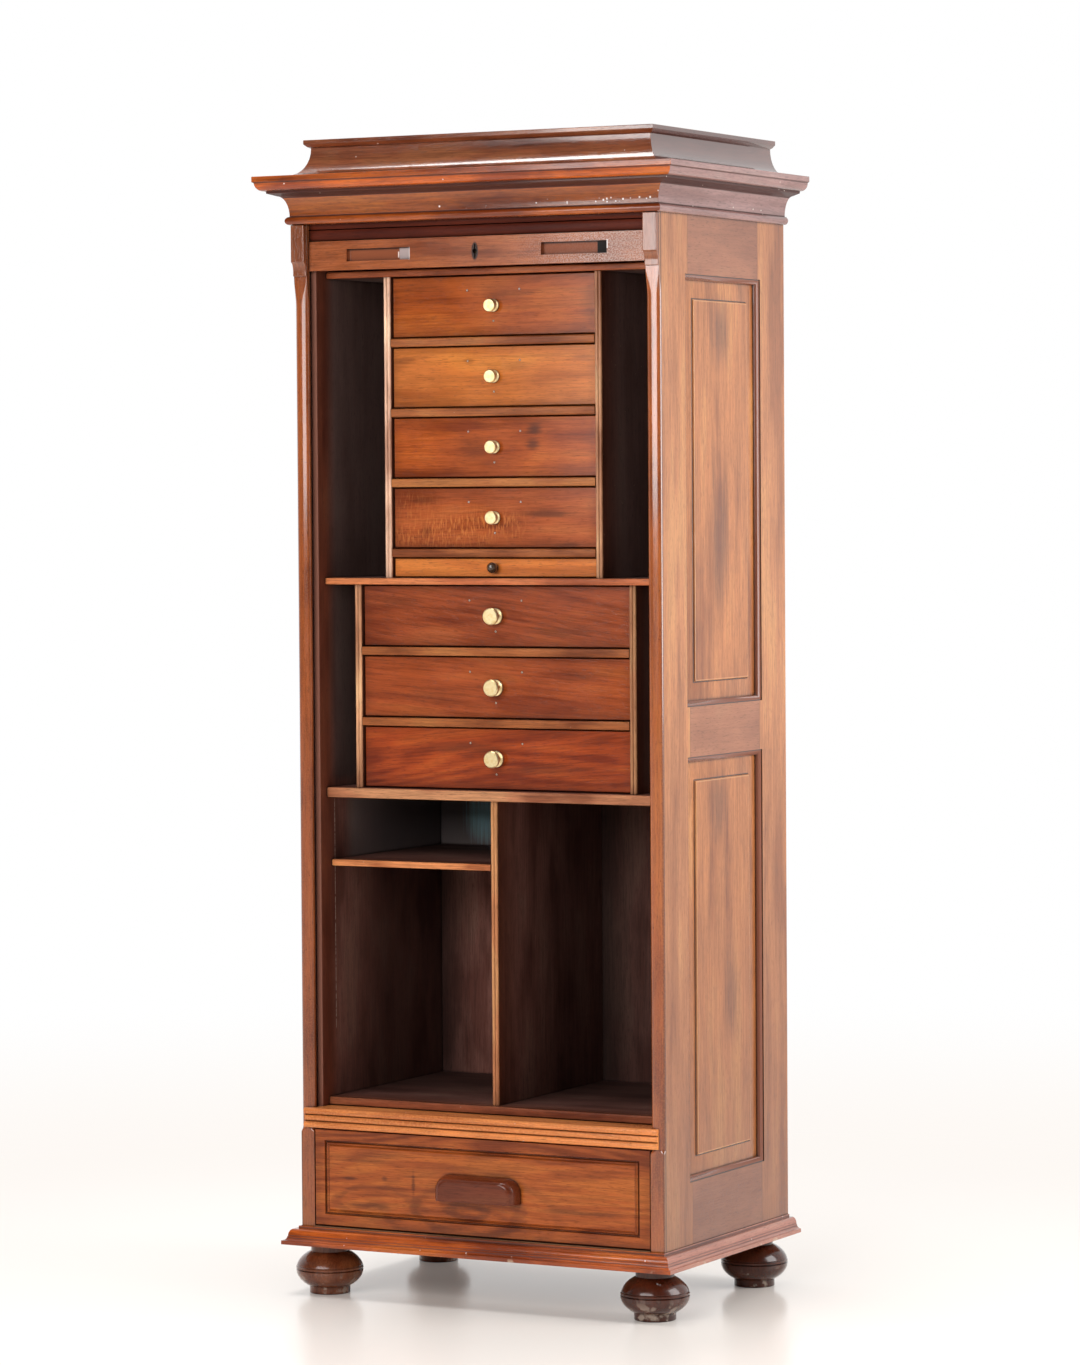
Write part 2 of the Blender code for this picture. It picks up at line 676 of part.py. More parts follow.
def waist_rail():
    """A rail with three planted reeds, a mortise for the lock bolt, and a seat for the compartment floor."""
    face = STILE_Y - GAP
    reed_h = (WAIST_H - 2 * REED_QUIRK) / 3
    outline = [(face, WAIST_Z)]
    for i, proud in enumerate((REED_PROUD, MIDDLE_REED_PROUD, REED_PROUD)):
        low = WAIST_Z + i * (reed_h + REED_QUIRK)
        outline += arc((face - proud / 2, low + reed_h / 2), (proud / 2, reed_h / 2), 270, 90)
    outline.append((face, WAIST_TOP_Z))
    reeds = extrude_x(outline, -CASE_X + REED_END_INSET, CASE_X - REED_END_INSET)
    wide = STILE_X - GAP
    narrow = INNER_X - GAP
    front = face - REED_QUIRK
    shoulder = LINING_Y - GAP
    seat = DATUM_Y + SHELF_SET + FLOOR_SEAT
    plan = [
        (-wide, front), (wide, front), (wide, shoulder), (narrow, shoulder),
        (narrow, seat), (-narrow, seat), (-narrow, shoulder), (-wide, shoulder),
    ]
    rail = join(reeds, extrude_z(plan, WAIST_Z + GAP, WAIST_TOP_Z - GAP))
    bolt_front, bolt_rear = bolt_depths()
    mortise_x = BOLT_W / 2 + RUN_GAP
    mortise = box(
        -mortise_x, mortise_x, bolt_front - RUN_GAP, bolt_rear + RUN_GAP,
        WAIST_TOP_Z - BOLT_THROW - CUT_OVER, WAIST_TOP_Z + CUT_OVER,
    )
    add_piece("waist_rail", cut(rail, mortise), "carcass wood")


def back_panel():
    """Upright boards with a vee at each joint, between the side frames."""
    x = SIDE_X - GAP
    board_w = 2 * x / BACK_BOARDS
    rear = REAR_Y - GAP
    outline = [(-x, BACK_Y), (x, BACK_Y), (x, rear)]
    for i in range(1, BACK_BOARDS):
        joint = x - i * board_w
        outline += [(joint + BACK_VEE, rear), (joint, rear - BACK_VEE), (joint - BACK_VEE, rear)]
    outline.append((-x, rear))
    add_piece("back_panel", extrude_z(outline, UNDERSIDE_Z, CORNICE_TOP_Z - GAP), "back wood")


def false_back():
    x = INNER_X - GAP
    board = box(-x, x, FALSE_BACK_Y, LINING_REAR_Y - GAP, BOTTOM_TOP_Z, LEAD_Z - GAP)
    add_piece("false_back", board, "inner wood")


def track_path(offset):
    """The shutter's way round the lining, as (point, outward normal) at a distance along it.

    It starts at the lead rail, goes up the front, over the top and down behind the false back.
    """
    radius = BEND_R + offset
    bend_z = LINING_TOP_Z - BEND_R
    front_y = LINING_Y + BEND_R
    rear_y = LINING_REAR_Y - BEND_R
    rise = bend_z - LEAD_TOP_Z
    turn = radius * pi / 2
    run = rear_y - front_y

    def at(s):
        if s < rise:
            return (LINING_Y - offset, LEAD_TOP_Z + s), (-1, 0)
        s -= rise
        if s < turn:
            normal = (-cos(s / radius), sin(s / radius))
            return (front_y + radius * normal[0], bend_z + radius * normal[1]), normal
        s -= turn
        if s < run:
            return (front_y + s, LINING_TOP_Z + offset), (0, 1)
        s -= run
        if s < turn:
            normal = (sin(s / radius), cos(s / radius))
            return (rear_y + radius * normal[0], bend_z + radius * normal[1]), normal
        return (LINING_REAR_Y + offset, bend_z - (s - turn)), (1, 0)

    return at


def curtain():
    """Slats on canvas: one strip whose outer side is grooved between slat and slat."""
    at = track_path(TRACK_PLAY)
    length = SHUTTER_TRAVEL + CURTAIN_SPARE
    slats = int(length / SLAT_PITCH)
    x = SIDE_X - SLAT_END_GAP
    shoulder_t = SLAT_T - SLAT_SHOULDER / 2
    rings = []

    def station(s, thickness):
        (y, z), (ny, nz) = at(s)
        outer = (y + ny * thickness, z + nz * thickness)
        rings.append([(-x, y, z), (x, y, z), (x, outer[0], outer[1]), (-x, outer[0], outer[1])])

    for i in range(slats):
        start = i * SLAT_PITCH + GAP
        station(start, SLAT_T - SLAT_GROOVE)
        station(start + SLAT_SHOULDER / 3, shoulder_t)
        station(start + SLAT_PITCH / 2, SLAT_T)
        station(start + SLAT_PITCH - SLAT_SHOULDER / 3, shoulder_t)
    station(slats * SLAT_PITCH + GAP, SLAT_T - SLAT_GROOVE)
    add_piece("curtain", loft(rings), "moulding wood")


def lead_rail():
    """The shutter's bottom rail, with track tongues, scooped finger pulls, a keyhole and a lock mortise."""
    front = STILE_Y + LEAD_SETBACK
    rear = lead_rear()
    x = STILE_X - RUN_GAP
    tongue_x = SIDE_X - SLAT_END_GAP
    tongue_front = LIP_Y + TRACK_PLAY
    top = LEAD_TOP_Z - GAP
    middle_z = LEAD_Z + LEAD_H / 2
    outline = [
        (-tongue_x, rear), (-tongue_x, tongue_front), (-x, tongue_front), (-x, front),
        (x, front), (x, tongue_front), (tongue_x, tongue_front), (tongue_x, rear),
    ]
    rail = extrude_z(outline, LEAD_Z, top)
    for side in (-1, 1):
        left = side * PULL_X - PULL_W / 2
        right = side * PULL_X + PULL_W / 2
        scoop = [(left, front - CUT_OVER), (right, front - CUT_OVER)]
        scoop += arc((right - PULL_SCOOP, front), (PULL_SCOOP, PULL_DEPTH), 0, 90)
        scoop += arc((left + PULL_END_R, front), (PULL_END_R, PULL_DEPTH), 90, 180)
        rail = cut(rail, extrude_z(scoop, middle_z - PULL_H / 2, middle_z + PULL_H / 2))
    lock_front = lock_rear() - LOCK_T - GAP
    lock_x = LOCK_W / 2 + GAP
    lock_z = LEAD_Z + LOCK_LIFT
    mortise = box(-lock_x, lock_x, lock_front, rear + CUT_OVER, lock_z - GAP, lock_z + LOCK_H + GAP)
    rail = cut(rail, mortise)
    bolt_front, bolt_rear = bolt_depths()
    bolt_x = BOLT_W / 2 + RUN_GAP
    slot = box(
        -bolt_x, bolt_x, bolt_front - RUN_GAP, bolt_rear + RUN_GAP, LEAD_Z - CUT_OVER, lock_z + RUN_GAP,
    )
    rail = cut(rail, slot)
    for tool in keyhole_tools(front - CUT_OVER, lock_front + GAP):
        rail = cut(rail, tool)
    add_piece("lead_rail", rail, "carcass wood", origin=lead_origin())


def lead_origin():
    """The middle of the lead rail's front, on the line that it slides along."""
    return (0, STILE_Y + LEAD_SETBACK, LEAD_Z)


def keyhole_tools(front, rear):
    """The two cutters of a keyhole: its round middle, and the slit that runs above and below it."""
    middle_z = LEAD_Z + LEAD_H / 2
    middle = extrude_y(arc((0, middle_z), (KEYHOLE_R, KEYHOLE_R), 0, 360, KEYHOLE_STEPS)[:-1], front, rear)
    half = KEYHOLE_SLIT_W / 2
    slit = box(-half, half, front, rear, middle_z - KEYHOLE_H / 2, middle_z + KEYHOLE_H / 2)
    return middle, slit


def lock():
    """A flat lock case with a channel for its bolt, and the bolt, which drops out below."""
    rear = lock_rear()
    front = rear - LOCK_T
    x = LOCK_W / 2
    z0 = LEAD_Z + LOCK_LIFT
    bolt_front, bolt_rear = bolt_depths()
    channel_x = BOLT_W / 2 + GAP
    bolt_z = LEAD_Z + GAP
    bolt_top = bolt_z + BOLT_H
    channel = box(
        -channel_x, channel_x, bolt_front - GAP, bolt_rear + GAP, z0 - CUT_OVER, bolt_top + GAP,
    )
    case = cut(box(-x, x, front, rear, z0, z0 + LOCK_H), channel)
    for tool in keyhole_tools(front - CUT_OVER, bolt_front):
        case = cut(case, tool)
    rail = bpy.data.objects["lead_rail"]
    add_piece("lock_case", case, "lock steel", origin=(0, front, z0), parent=rail)
    bolt = box(-BOLT_W / 2, BOLT_W / 2, bolt_front, bolt_rear, bolt_z, bolt_top)
    add_piece("lock_bolt", bolt, "brass", origin=(0, (bolt_front + bolt_rear) / 2, bolt_z), parent=rail)


def lining(name, side):
    """The inner side: a board with rounded upper corners that the shutter slides round."""
    bend_z = LINING_TOP_Z - BEND_R
    outline = [(LINING_REAR_Y, BOTTOM_TOP_Z), (LINING_Y, BOTTOM_TOP_Z)]
    outline += arc((LINING_Y + BEND_R, bend_z), (BEND_R, BEND_R), 180, 90, BEND_STEPS)
    outline += arc((LINING_REAR_Y - BEND_R, bend_z), (BEND_R, BEND_R), 90, 0, BEND_STEPS)
    add_piece(name, extrude_x(outline, side * INNER_X, side * (INNER_X + LINING_T)), "inner wood")


def inner_case():
    """Linings, shelves, partitions and the dust boards between the drawers."""
    lining("left_lining", -1)
    lining("right_lining", 1)
    x = INNER_X - GAP
    shelf("compartment_floor", -x, x, SHELF_SET, WAIST_TOP_Z, FLOOR_TOP_Z, "inner wood")
    shelf("lower_shelf", -x, x, SHELF_SET, LOWER_SHELF_Z, LOWER_TIER_Z)
    shelf("upper_shelf", -x, x, SHELF_SET, UPPER_SHELF_Z, SLIDE_Z)
    shelf("inner_ceiling", -x, x, CEILING_SET, CEILING_Z, LEAD_Z, "inner wood")
    half = PARTITION_T / 2
    partition("centre_partition", -half, half, SMALL_SHELF_SET, FLOOR_TOP_Z, LOWER_SHELF_Z)
    small_top = LOWER_SHELF_Z - SMALL_SHELF_DROP
    shelf("small_shelf", -x, -half - GAP, SMALL_SHELF_SET, small_top - SMALL_SHELF_T, small_top)
    lower_tier = ("lower", LOWER_BAY_X, LOWER_TIER_Z, UPPER_SHELF_Z)
    upper_tier = ("upper", UPPER_BAY_X, SLIDE_Z, CEILING_Z)
    for tier, inner, z0, z1 in (lower_tier, upper_tier):
        outer = inner + PARTITION_T
        partition(f"{tier}_left_partition", -outer, -inner, PARTITION_SET, z0, z1)
        partition(f"{tier}_right_partition", inner, outer, PARTITION_SET, z0, z1)
    divider_x = LOWER_BAY_X - GAP
    for i in range(1, LOWER_DRAWERS):
        z1 = LOWER_TIER_Z + i * LOWER_PITCH
        shelf(f"lower_dust_board_{i}", -divider_x, divider_x, PARTITION_SET, z1 - DIVIDER_T, z1)
    divider_x = UPPER_BAY_X - GAP
    for i in range(UPPER_DRAWERS):
        z1 = UPPER_TIER_Z + i * UPPER_PITCH
        shelf(f"upper_dust_board_{i + 1}", -divider_x, divider_x, PARTITION_SET, z1 - DIVIDER_T, z1)


def front_rings(x, z0, z1, face, thickness, score):
    """A drawer front from back to face, with chamfered arrises and, if asked, a scored bead."""
    def ring(inset, y):
        return [
            (-x + inset, y, z0 + inset), (x - inset, y, z0 + inset),
            (x - inset, y, z1 - inset), (-x + inset, y, z1 - inset),
        ]
    steps = [(0, face + thickness), (0, face + FRONT_CHAMFER), (FRONT_CHAMFER, face)]
    if score:
        steps += [(SCORE_INSET + SCORE_W * across, face + SCORE_DEPTH * deep) for across, deep in SCORE_BEAD]
    return [ring(inset, y) for inset, y in steps]


def drawer_body(bay_x, box_x, z0, opening_h, face, rear, front_t, score=False):
    """A drawer's mesh: front, sides, back and a bottom set up between the sides."""
    low = z0 + GAP
    front_low = z0 + FRONT_GAP
    high = z0 + opening_h - GAP - FRONT_GAP
    inner_x = box_x - DRAWER_SIDE_T
    floor_z = low + DRAWER_SKIRT
    front = loft(front_rings(bay_x - FRONT_GAP, front_low, high, face, front_t, score))
    tray = box(-box_x, box_x, face + front_t / 2, rear, low, high - DRAWER_TOP_DROP)
    skirt = box(-inner_x, inner_x, face + front_t + GAP, rear + CUT_OVER, low - CUT_OVER, floor_z)
    inside = box(
        -inner_x, inner_x, face + front_t, rear - DRAWER_BACK_T, floor_z + DRAWER_BOTTOM_T, high + CUT_OVER,
    )
    return cut(cut(join(front, tray), skirt), inside)


def pull_point(z0, opening_h, face):
    """The middle of a drawer front, where its knob or handle sits."""
    return (0, face, z0 + (opening_h - GAP) / 2)


def spigot_bore(pull):
    """The cutter for the hole that a knob's spigot goes through."""
    x, face, z = pull
    circle = arc((x, z), (SPIGOT_R + GAP, SPIGOT_R + GAP), 0, 360, BORE_STEPS)[:-1]
    return extrude_y(circle, face - CUT_OVER, face + DRAWER_FRONT_T + CUT_OVER)


def knob(name, drawer_piece, radius, kind, shape):
    """A turned knob on a spigot through the drawer front; its shape is in shares of its radius."""
    pull = Vector(drawer_piece["world_origin"])
    spigot_end = GAP - DRAWER_FRONT_T
    profile = [(0, spigot_end), (SPIGOT_R, spigot_end), (SPIGOT_R, GAP)]
    profile += [(radius * across, GAP + radius * out) for across, out in shape]
    add_piece(
        name, turned(profile, pull, (0, -1, 0), KNOB_STEPS), kind,
        origin=tuple(pull), parent=drawer_piece, smooth=True,
    )


def handle(drawer_piece):
    """A half-moon pull, rounded over to its front, with a flat underside and a finger grip cut up into it."""
    pull = Vector(drawer_piece["world_origin"])
    low = pull.z - HANDLE_DROP
    face = pull.y - GAP
    rings = []
    for end_inset, proud in arc((HANDLE_END_R, 0), (HANDLE_END_R, HANDLE_PROUD), 180, 90):
        top_inset = end_inset * HANDLE_TOP_R / HANDLE_END_R
        half = HANDLE_W / 2 - end_inset
        height = HANDLE_H - top_inset
        corner = HANDLE_ROUND - top_inset
        outline = [(-half, low), (half, low)]
        outline += arc((half - corner, low + height - corner), (corner, corner), 0, 90)
        outline += arc((-half + corner, low + height - corner), (corner, corner), 90, 180)
        rings.append([(x, face - proud, z) for x, z in outline])
    grip_face = face - HANDLE_SKIN
    grip = box(-GRIP_W / 2, GRIP_W / 2, grip_face - GRIP_T, grip_face, low - CUT_OVER, low + GRIP_H)
    gripped = cut(loft(rings), grip)
    add_piece("bottom_drawer_handle", gripped, "dark wood", origin=tuple(pull), parent=drawer_piece)


def slide_body(face):
    """The writing slide's mesh: a thin board behind a full-height front strip."""
    x = UPPER_BAY_X - FRONT_GAP
    low = SLIDE_Z + GAP
    high = SLIDE_Z + SLIDE_OPENING_H - GAP - FRONT_GAP
    strip = loft(front_rings(x, SLIDE_Z + FRONT_GAP, high, face, DRAWER_FRONT_T, False))
    board_x = x - DRAWER_REVEAL
    board = box(-board_x, board_x, face + DRAWER_FRONT_T / 2, DRAWER_REAR_Y, low, low + SLIDE_BOARD_T)
    return join(strip, board)


def drawer_tier(tier, bay_x, count, top_z, opening_h, knob_r):
    """A column of like drawers, numbered from the top, each with its knob."""
    face = DATUM_Y + DRAWER_SET
    box_x = bay_x - FRONT_GAP - DRAWER_REVEAL
    for i in range(count):
        z0 = top_z - opening_h - i * (opening_h + DIVIDER_T)
        pull = pull_point(z0, opening_h, face)
        body = drawer_body(bay_x, box_x, z0, opening_h, face, DRAWER_REAR_Y, DRAWER_FRONT_T)
        body = cut(body, spigot_bore(pull))
        piece = add_piece(f"{tier}_drawer_{i + 1}", body, f"{tier} drawer wood", origin=pull)
        knob(f"{tier}_knob_{i + 1}", piece, knob_r, "brass", DISC_KNOB)


def drawers():
    """All the drawers, the writing slide and what they are pulled by."""
    drawer_tier("upper", UPPER_BAY_X, UPPER_DRAWERS, CEILING_Z, UPPER_OPENING_H, UPPER_KNOB_R)
    drawer_tier("lower", LOWER_BAY_X, LOWER_DRAWERS, UPPER_SHELF_Z, LOWER_OPENING_H, LOWER_KNOB_R)
    face = DATUM_Y + DRAWER_SET
    pull = pull_point(SLIDE_Z, SLIDE_OPENING_H, face)
    slide = add_piece("writing_slide", cut(slide_body(face), spigot_bore(pull)), "slide wood", origin=pull)
    knob("writing_slide_knob", slide, SLIDE_KNOB_R, "dark wood", BALL_KNOB)
    body = drawer_body(
        STILE_X, INNER_X - RUN_GAP, BOTTOM_TOP_Z, BOTTOM_OPENING_H,
        STILE_Y, BOTTOM_DRAWER_REAR_Y, BOTTOM_FRONT_T, score=True,
    )
    pull = pull_point(BOTTOM_TOP_Z, BOTTOM_OPENING_H, STILE_Y)
    handle(add_piece("bottom_drawer", body, "upper drawer wood", origin=pull))


def carcass():
    """Sides, panels, capitals, mouldings, rails, back and feet."""
    for word, side in (("left", -1), ("right", 1)):
        side_frame(f"{word}_side_frame", side)
        for level, window in side_windows().items():
            side_panel(f"{word}_{level}_panel", side, window)
        capital(f"{word}_capital", side)
    cornice()
    top_cap()
    frieze_rail()
    waist_rail()
    base_moulding()
    bottom_board()
    back_panel()
    false_back()
    feet()


def main():
    for old in list(bpy.data.objects):
        bpy.data.objects.remove(old)
    carcass()
    inner_case()
    lead_rail()
    curtain()
    lock()
    drawers()


main()
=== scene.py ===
import json
from math import acos, cos, pi, radians, sin

import bmesh
import bpy
from mathutils import Matrix, Vector

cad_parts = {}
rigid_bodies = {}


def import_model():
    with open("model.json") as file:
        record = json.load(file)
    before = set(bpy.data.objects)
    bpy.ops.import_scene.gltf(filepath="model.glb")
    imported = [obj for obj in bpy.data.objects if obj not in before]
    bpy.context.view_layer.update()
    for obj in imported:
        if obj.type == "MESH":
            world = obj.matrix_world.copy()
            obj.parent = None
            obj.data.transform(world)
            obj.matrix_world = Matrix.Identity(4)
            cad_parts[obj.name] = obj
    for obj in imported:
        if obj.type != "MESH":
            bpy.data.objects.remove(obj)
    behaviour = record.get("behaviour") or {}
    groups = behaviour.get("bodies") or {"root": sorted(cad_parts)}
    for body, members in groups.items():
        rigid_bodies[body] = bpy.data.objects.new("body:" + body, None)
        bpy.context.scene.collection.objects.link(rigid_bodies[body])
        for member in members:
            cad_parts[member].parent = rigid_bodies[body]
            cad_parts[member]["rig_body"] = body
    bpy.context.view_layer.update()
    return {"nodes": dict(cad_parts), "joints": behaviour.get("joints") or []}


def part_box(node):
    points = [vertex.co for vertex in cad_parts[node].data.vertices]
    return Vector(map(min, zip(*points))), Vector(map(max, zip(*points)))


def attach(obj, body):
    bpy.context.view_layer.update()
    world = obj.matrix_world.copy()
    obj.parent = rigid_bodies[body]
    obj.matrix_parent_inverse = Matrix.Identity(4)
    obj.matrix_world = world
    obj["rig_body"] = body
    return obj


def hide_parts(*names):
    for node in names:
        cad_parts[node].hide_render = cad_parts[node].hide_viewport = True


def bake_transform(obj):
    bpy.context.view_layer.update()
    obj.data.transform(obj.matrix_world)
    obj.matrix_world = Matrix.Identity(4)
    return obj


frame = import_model()
SIDES = ("left", "right")

# The photograph's camera: a long lens at the cabinet's right front corner
LENS_MM = 125.84
SENSOR_MM = 36.0
CAMERA_PLACE = (3.168, -5.9125, 1.1245)
CAMERA_YAW = radians(28.127)
CAMERA_DIP = radians(2.27)
CAMERA_ROLL = radians(-0.39)
CLIP_END = 60

# Soft lights: place, aim, width, height and watts
LIGHTS = {
    "front window": ((-0.15, -3.20, 1.84), (-0.15, 0, 1.84), 2.70, 1.50, 80),
    "overhead": ((-0.50, -0.40, 4.0), (-0.2, -0.2, 0), 1.6, 1.6, 72),
    "right box": ((2.1, 0.35, 1.35), (0, 0, 0.9), 1.3, 1.3, 32),
}

# The room's light from in front and from behind, and the floor's half size and glow by distance
ROOM_LIGHT = (0.10, 0.85)
ROOM_TURN = (-0.6, 0.6)
BACKDROP_TURN = (-0.35, 0.15)
FLOOR_HALF = 14
FLOOR_FADE = (0.35, 1.7)
FLOOR_WARMTH = (1.3, 4.0)
FLOOR_LIFT = 0.10
FLOOR_MIRROR = 0.45
WHITE = (1, 1, 1)

# Planes and heights read from the frame
SIDE_LOW, SIDE_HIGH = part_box("right_side_frame")
CASE_X = SIDE_HIGH.x
DATUM_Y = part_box("frieze_rail")[0].y
PANEL_LOW, PANEL_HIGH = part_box("right_upper_panel")
CORNICE_LOW, CORNICE_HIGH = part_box("cornice")
BASE_FOOT_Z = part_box("base_moulding")[0].z
LID_SKIN = 0.0006
LID_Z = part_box("top_cap")[1].z - LID_SKIN
LEAD_LOW, LEAD_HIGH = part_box("lead_rail")
LEAD_MIDDLE_Z = (LEAD_LOW.z + LEAD_HIGH.z) / 2
CURTAIN_LOW, CURTAIN_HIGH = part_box("curtain")
LINING_LOW, LINING_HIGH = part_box("left_lining")
PARTITION_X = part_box("centre_partition")[1].x
LOWER_SHELF_LOW, LOWER_SHELF_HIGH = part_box("lower_shelf")
SMALL_SHELF_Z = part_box("small_shelf")[1].z
SHUTTER_TRAVEL = -next(j for j in frame["joints"] if j["name"] == "shutter_slide")["range_m"][0]

# A mask that starts at a plane starts this far past it
NUDGE = 0.0002

# Points this close are one, faces this level are one, and edges sharper than this are hard
WELD = 0.00001
LEVEL_ANGLE = radians(0.6)
HARD_DEGREES = 38
TURNED_DEGREES = 30

# Layers of the grain: scale along it and across it, and the noise's detail and roughness
BANDS = (2.0, 34, 3, 0.55)
STREAKS = (11.0, 320, 3, 0.6)
FIBRE = (34.0, 820, 2, 0.6)
PORES = (90.0, 900, 1, 0.5)
CROSS_FLECKS = (380.0, 74.0, 3, 0.6)
RING_BENDS = (2.2, 11, 1, 0.4)
CLOUD_NOISE = (3, 0.5)
CLOUD = (7.0, 20.0)
STILE_CLOUD = (4.0, 16.0)
RAIL_CLOUD = (8.0, 16.0)
PANEL_CLOUD = (4.0, 14.0)
WARP = (1.6, 7.0, 7.0)
WAVINESS = 0.016
STRAIGHT = 0.004
SEED_STEP = (1.9, 0.73, 0.31)

# Shifts along the grain that give the boards of one material their own figure
MOULDING_SHIFT = 3.7
RAIL_SHIFT = 5.3

# How far a tone goes in each channel to its dark grain, its golden grain, its flecks and its worn spots
DEEP_LOSS = (0.42, 0.52, 0.55)
GOLDEN_GAIN = (0.24, 0.46, 0.44)
FLECK_GAIN = (1.55, 2.2, 2.0)
WORN_GAIN = (1.35, 1.9, 2.0)
LINE_DEPTH = 0.38
LINE_LIGHT = 1.065

# Figure of a wood: contrast, and the weights of bands and clouds
BOLD = dict(contrast=0.8, weights=(0.5, 0.6))
RICH = dict(contrast=1.1, weights=(0.6, 1.1))
PLAIN = dict(contrast=0.7, weights=(0.5, 0.3))

# Finishes
GLOSSY = dict(rough=(0.12, 0.20), specular=0.7, coat=0.8, coat_rough=0.07)
WAXED = dict(rough=(0.12, 0.20), specular=0.45, coat=0.35, coat_rough=0.08)
RUBBED = dict(rough=(0.16, 0.26), specular=0.4, coat=0.3, crackle=0.5)
RAW = dict(rough=(0.6, 0.8), specular=0.15)
CAPITAL_FINISH = dict(GLOSSY, coat=0.30, crackle=0.5)

# Tones and tints
INNER_TONE = (0.128, 0.053, 0.040)
SLOT_TONE = (0.130, 0.076, 0.066)
HOLE_TONE = (0.215, 0.175, 0.166)
BLOOM_TONE = (0.480, 0.780, 0.840)
NEAR_TONE = (0.110, 0.032, 0.017)
LINING_TONE = (0.175, 0.046, 0.023)
LINING_EDGE_TONE = (0.30, 0.125, 0.085)
BOX_TONE = (0.46, 0.235, 0.112)
STAIN_TINT = (0.050, 0.014, 0.006)
PANEL_STAIN_TINT = (0.10, 0.036, 0.022)
# Near-black: painted shade in corners, in the ovolo's quirk and round panel fields, and the dark round the
# keyhole
NEAR_BLACK_TINT = (0.014, 0.006, 0.004)
HOLLOW_SHADE_TINT = (0.050, 0.010, 0.006)
KNOCK_TINT = (0.80, 0.68, 0.60)
CHIP_TINT = (0.50, 0.33, 0.22)
PAINT_TINT = (0.95, 0.86, 0.80)
OVOLO_TINT = (0.20, 0.058, 0.026)
SIDE_SHADE_TINT = (0.100, 0.017, 0.004)
FIELD_HIGHLIGHT_TINT = (0.75, 0.40, 0.18)
DENT_TINT = (0.10, 0.03, 0.015)
DUST_TINT = (0.62, 0.47, 0.34)
PALE_LINE_TINT = (0.75, 0.62, 0.52)
CRAZED_SHEEN_TINT = (0.54, 0.38, 0.32)
SCUFF_TINT = (0.42, 0.33, 0.26)

# Painted shade and dirt in corners, worn varnish, relief of the grain, and knocks: cell of their grid and
# size
SHADE_AND_GRIME_REACH = 0.005
BRASS_GRIME_REACH = 0.003
MOTTLE_SCALE = 520.0
MOTTLE = 0.22
RELIEF_DEPTH = 0.0003
CRACKLE_SCALE = 420.0
KNOCK_CELL = 0.012
KNOCK_SIZE = 0.0014

# Side frames: how far panels lie in their grooves, thickness of frame and lip, the moulded edge and its quirk
PANEL_REBATE = 0.008
SIDE_T = 0.0155
STILE_LIP_T = 0.0075
OVOLO_START = -0.004
OVOLO_W = 0.0075
OVOLO_QUIRK = (OVOLO_W - 0.0006, OVOLO_W + 0.0008)
TRACK_SKIN = 0.0006
ARRIS_SKIN = 0.0003
ARRIS_W = 0.0035
ARRIS_DEPTHS = (0.0022, 0.0066)
ARRIS_SOFT = 0.0012
FRONT_ARRIS = (0.0005, 0.0028)
JOINT_W = 0.0009
DENT_CELL = 0.02
DENT_SIZE = 0.0012
STILE_SPECK_CELL = 0.006
STILE_SPECK_SIZE = 0.0010

# Heights between which painted shade darkens a side towards the floor, and under the cornice
SIDE_SHADE_LOW = (0.05, 0.85)
SIDE_SHADE_HIGH = (1.30, 1.55)

# Panels: margin of the raised field, the painted highlight on its arris and the painted shade outside it,
# each from the field's edge
FIELD_MARGIN = 0.025
FIELD_ARRIS = (-0.0026, -0.0008)
FIELD_ARRIS_SOFT = 0.0004
FIELD_SHADE = (0.0, 0.0014)

# Dark clouds on the panels: height, place across, half height, half width and strength
PANEL_TONE = (0.48, 0.172, 0.056)
PANEL_MARKS = {
    "upper": ((1.345, 0.022, 0.070, 0.042, 0.60), (1.060, 0.018, 0.130, 0.040, 0.50)),
    "lower": ((0.690, 0.010, 0.07, 0.040, 0.50), (0.430, 0.045, 0.10, 0.034, 0.45)),
}

# Painted shade in the hollows of cornice and base: low and high above the foot, and strength; painted light
# and shade on the cornice's members
QUIRK_SOFT = 0.0005
CORNICE_QUIRKS = ((0.0103, 0.0128, 0.80), (0.0372, 0.0468, 0.92), (0.0573, 0.0594, 0.65))
BASE_QUIRKS = ((0.0085, 0.0100, 0.65), (0.0120, 0.0132, 0.60), (0.0222, 0.0236, 0.60))
BAND_SOFT = 0.002
CORNICE_MEMBER_SHADING = ((0.0135, 0.0368, (0.74, 0.79, 0.68)), (0.0475, 0.0570, (1.42, 1.30, 0.97)))
CHIP_Z = (BASE_FOOT_Z + 0.001, BASE_FOOT_Z + 0.006)

# Paint specks on the cornice's cove: cell of their grid, run over which they thicken, and height
PAINT_CELL = 0.006
PAINT_RUN = (-0.12, 0.26)
PAINT_SHARE = 0.55
PAINT_Z = (CORNICE_LOW.z + 0.0150, CORNICE_LOW.z + 0.0215)
PAINT_SOFT = 0.0015

# Inside the case, by depth: edge of a board, its near tone, its light; dust; the slots' run of light
EDGE_FADE = (0.0018, 0.0042)
NEAR_FADE = (0.0, 0.07)
LIT_FADE = (0.04, 0.22)
GLOSS_FADE = (0.004, 0.02)
DUST_CELL = 0.010
DUST_SIZE = 0.0007
SLOT_RISE = 0.02
SLOT_RUN = (-0.22, 0.22)
BACK_GLOW_W = 0.075
HOLE_SOFT = 0.004

# Linings, by depth: edge, near tone, light and pigeonhole; the thin pale line, its heights and dots per metre
LINING_EDGE = (0.001, 0.0025)
LINING_NEAR = (0.018, 0.052)
LINING_LIT = (0.04, 0.20)
LINING_HOLE = (0.06, 0.10)
PALE_LINE_DEPTH = (0.0388, 0.0396)
PALE_LINE_SOFT = 0.0003
PALE_LINE_Z = (0.372, 0.694)
PALE_LINE_DOTS = 160.0

# The bloom in the pigeonhole: height, place across, half height, half width and strength
BLOOM = (0.655, -0.190, 0.050, 0.038, 0.9)
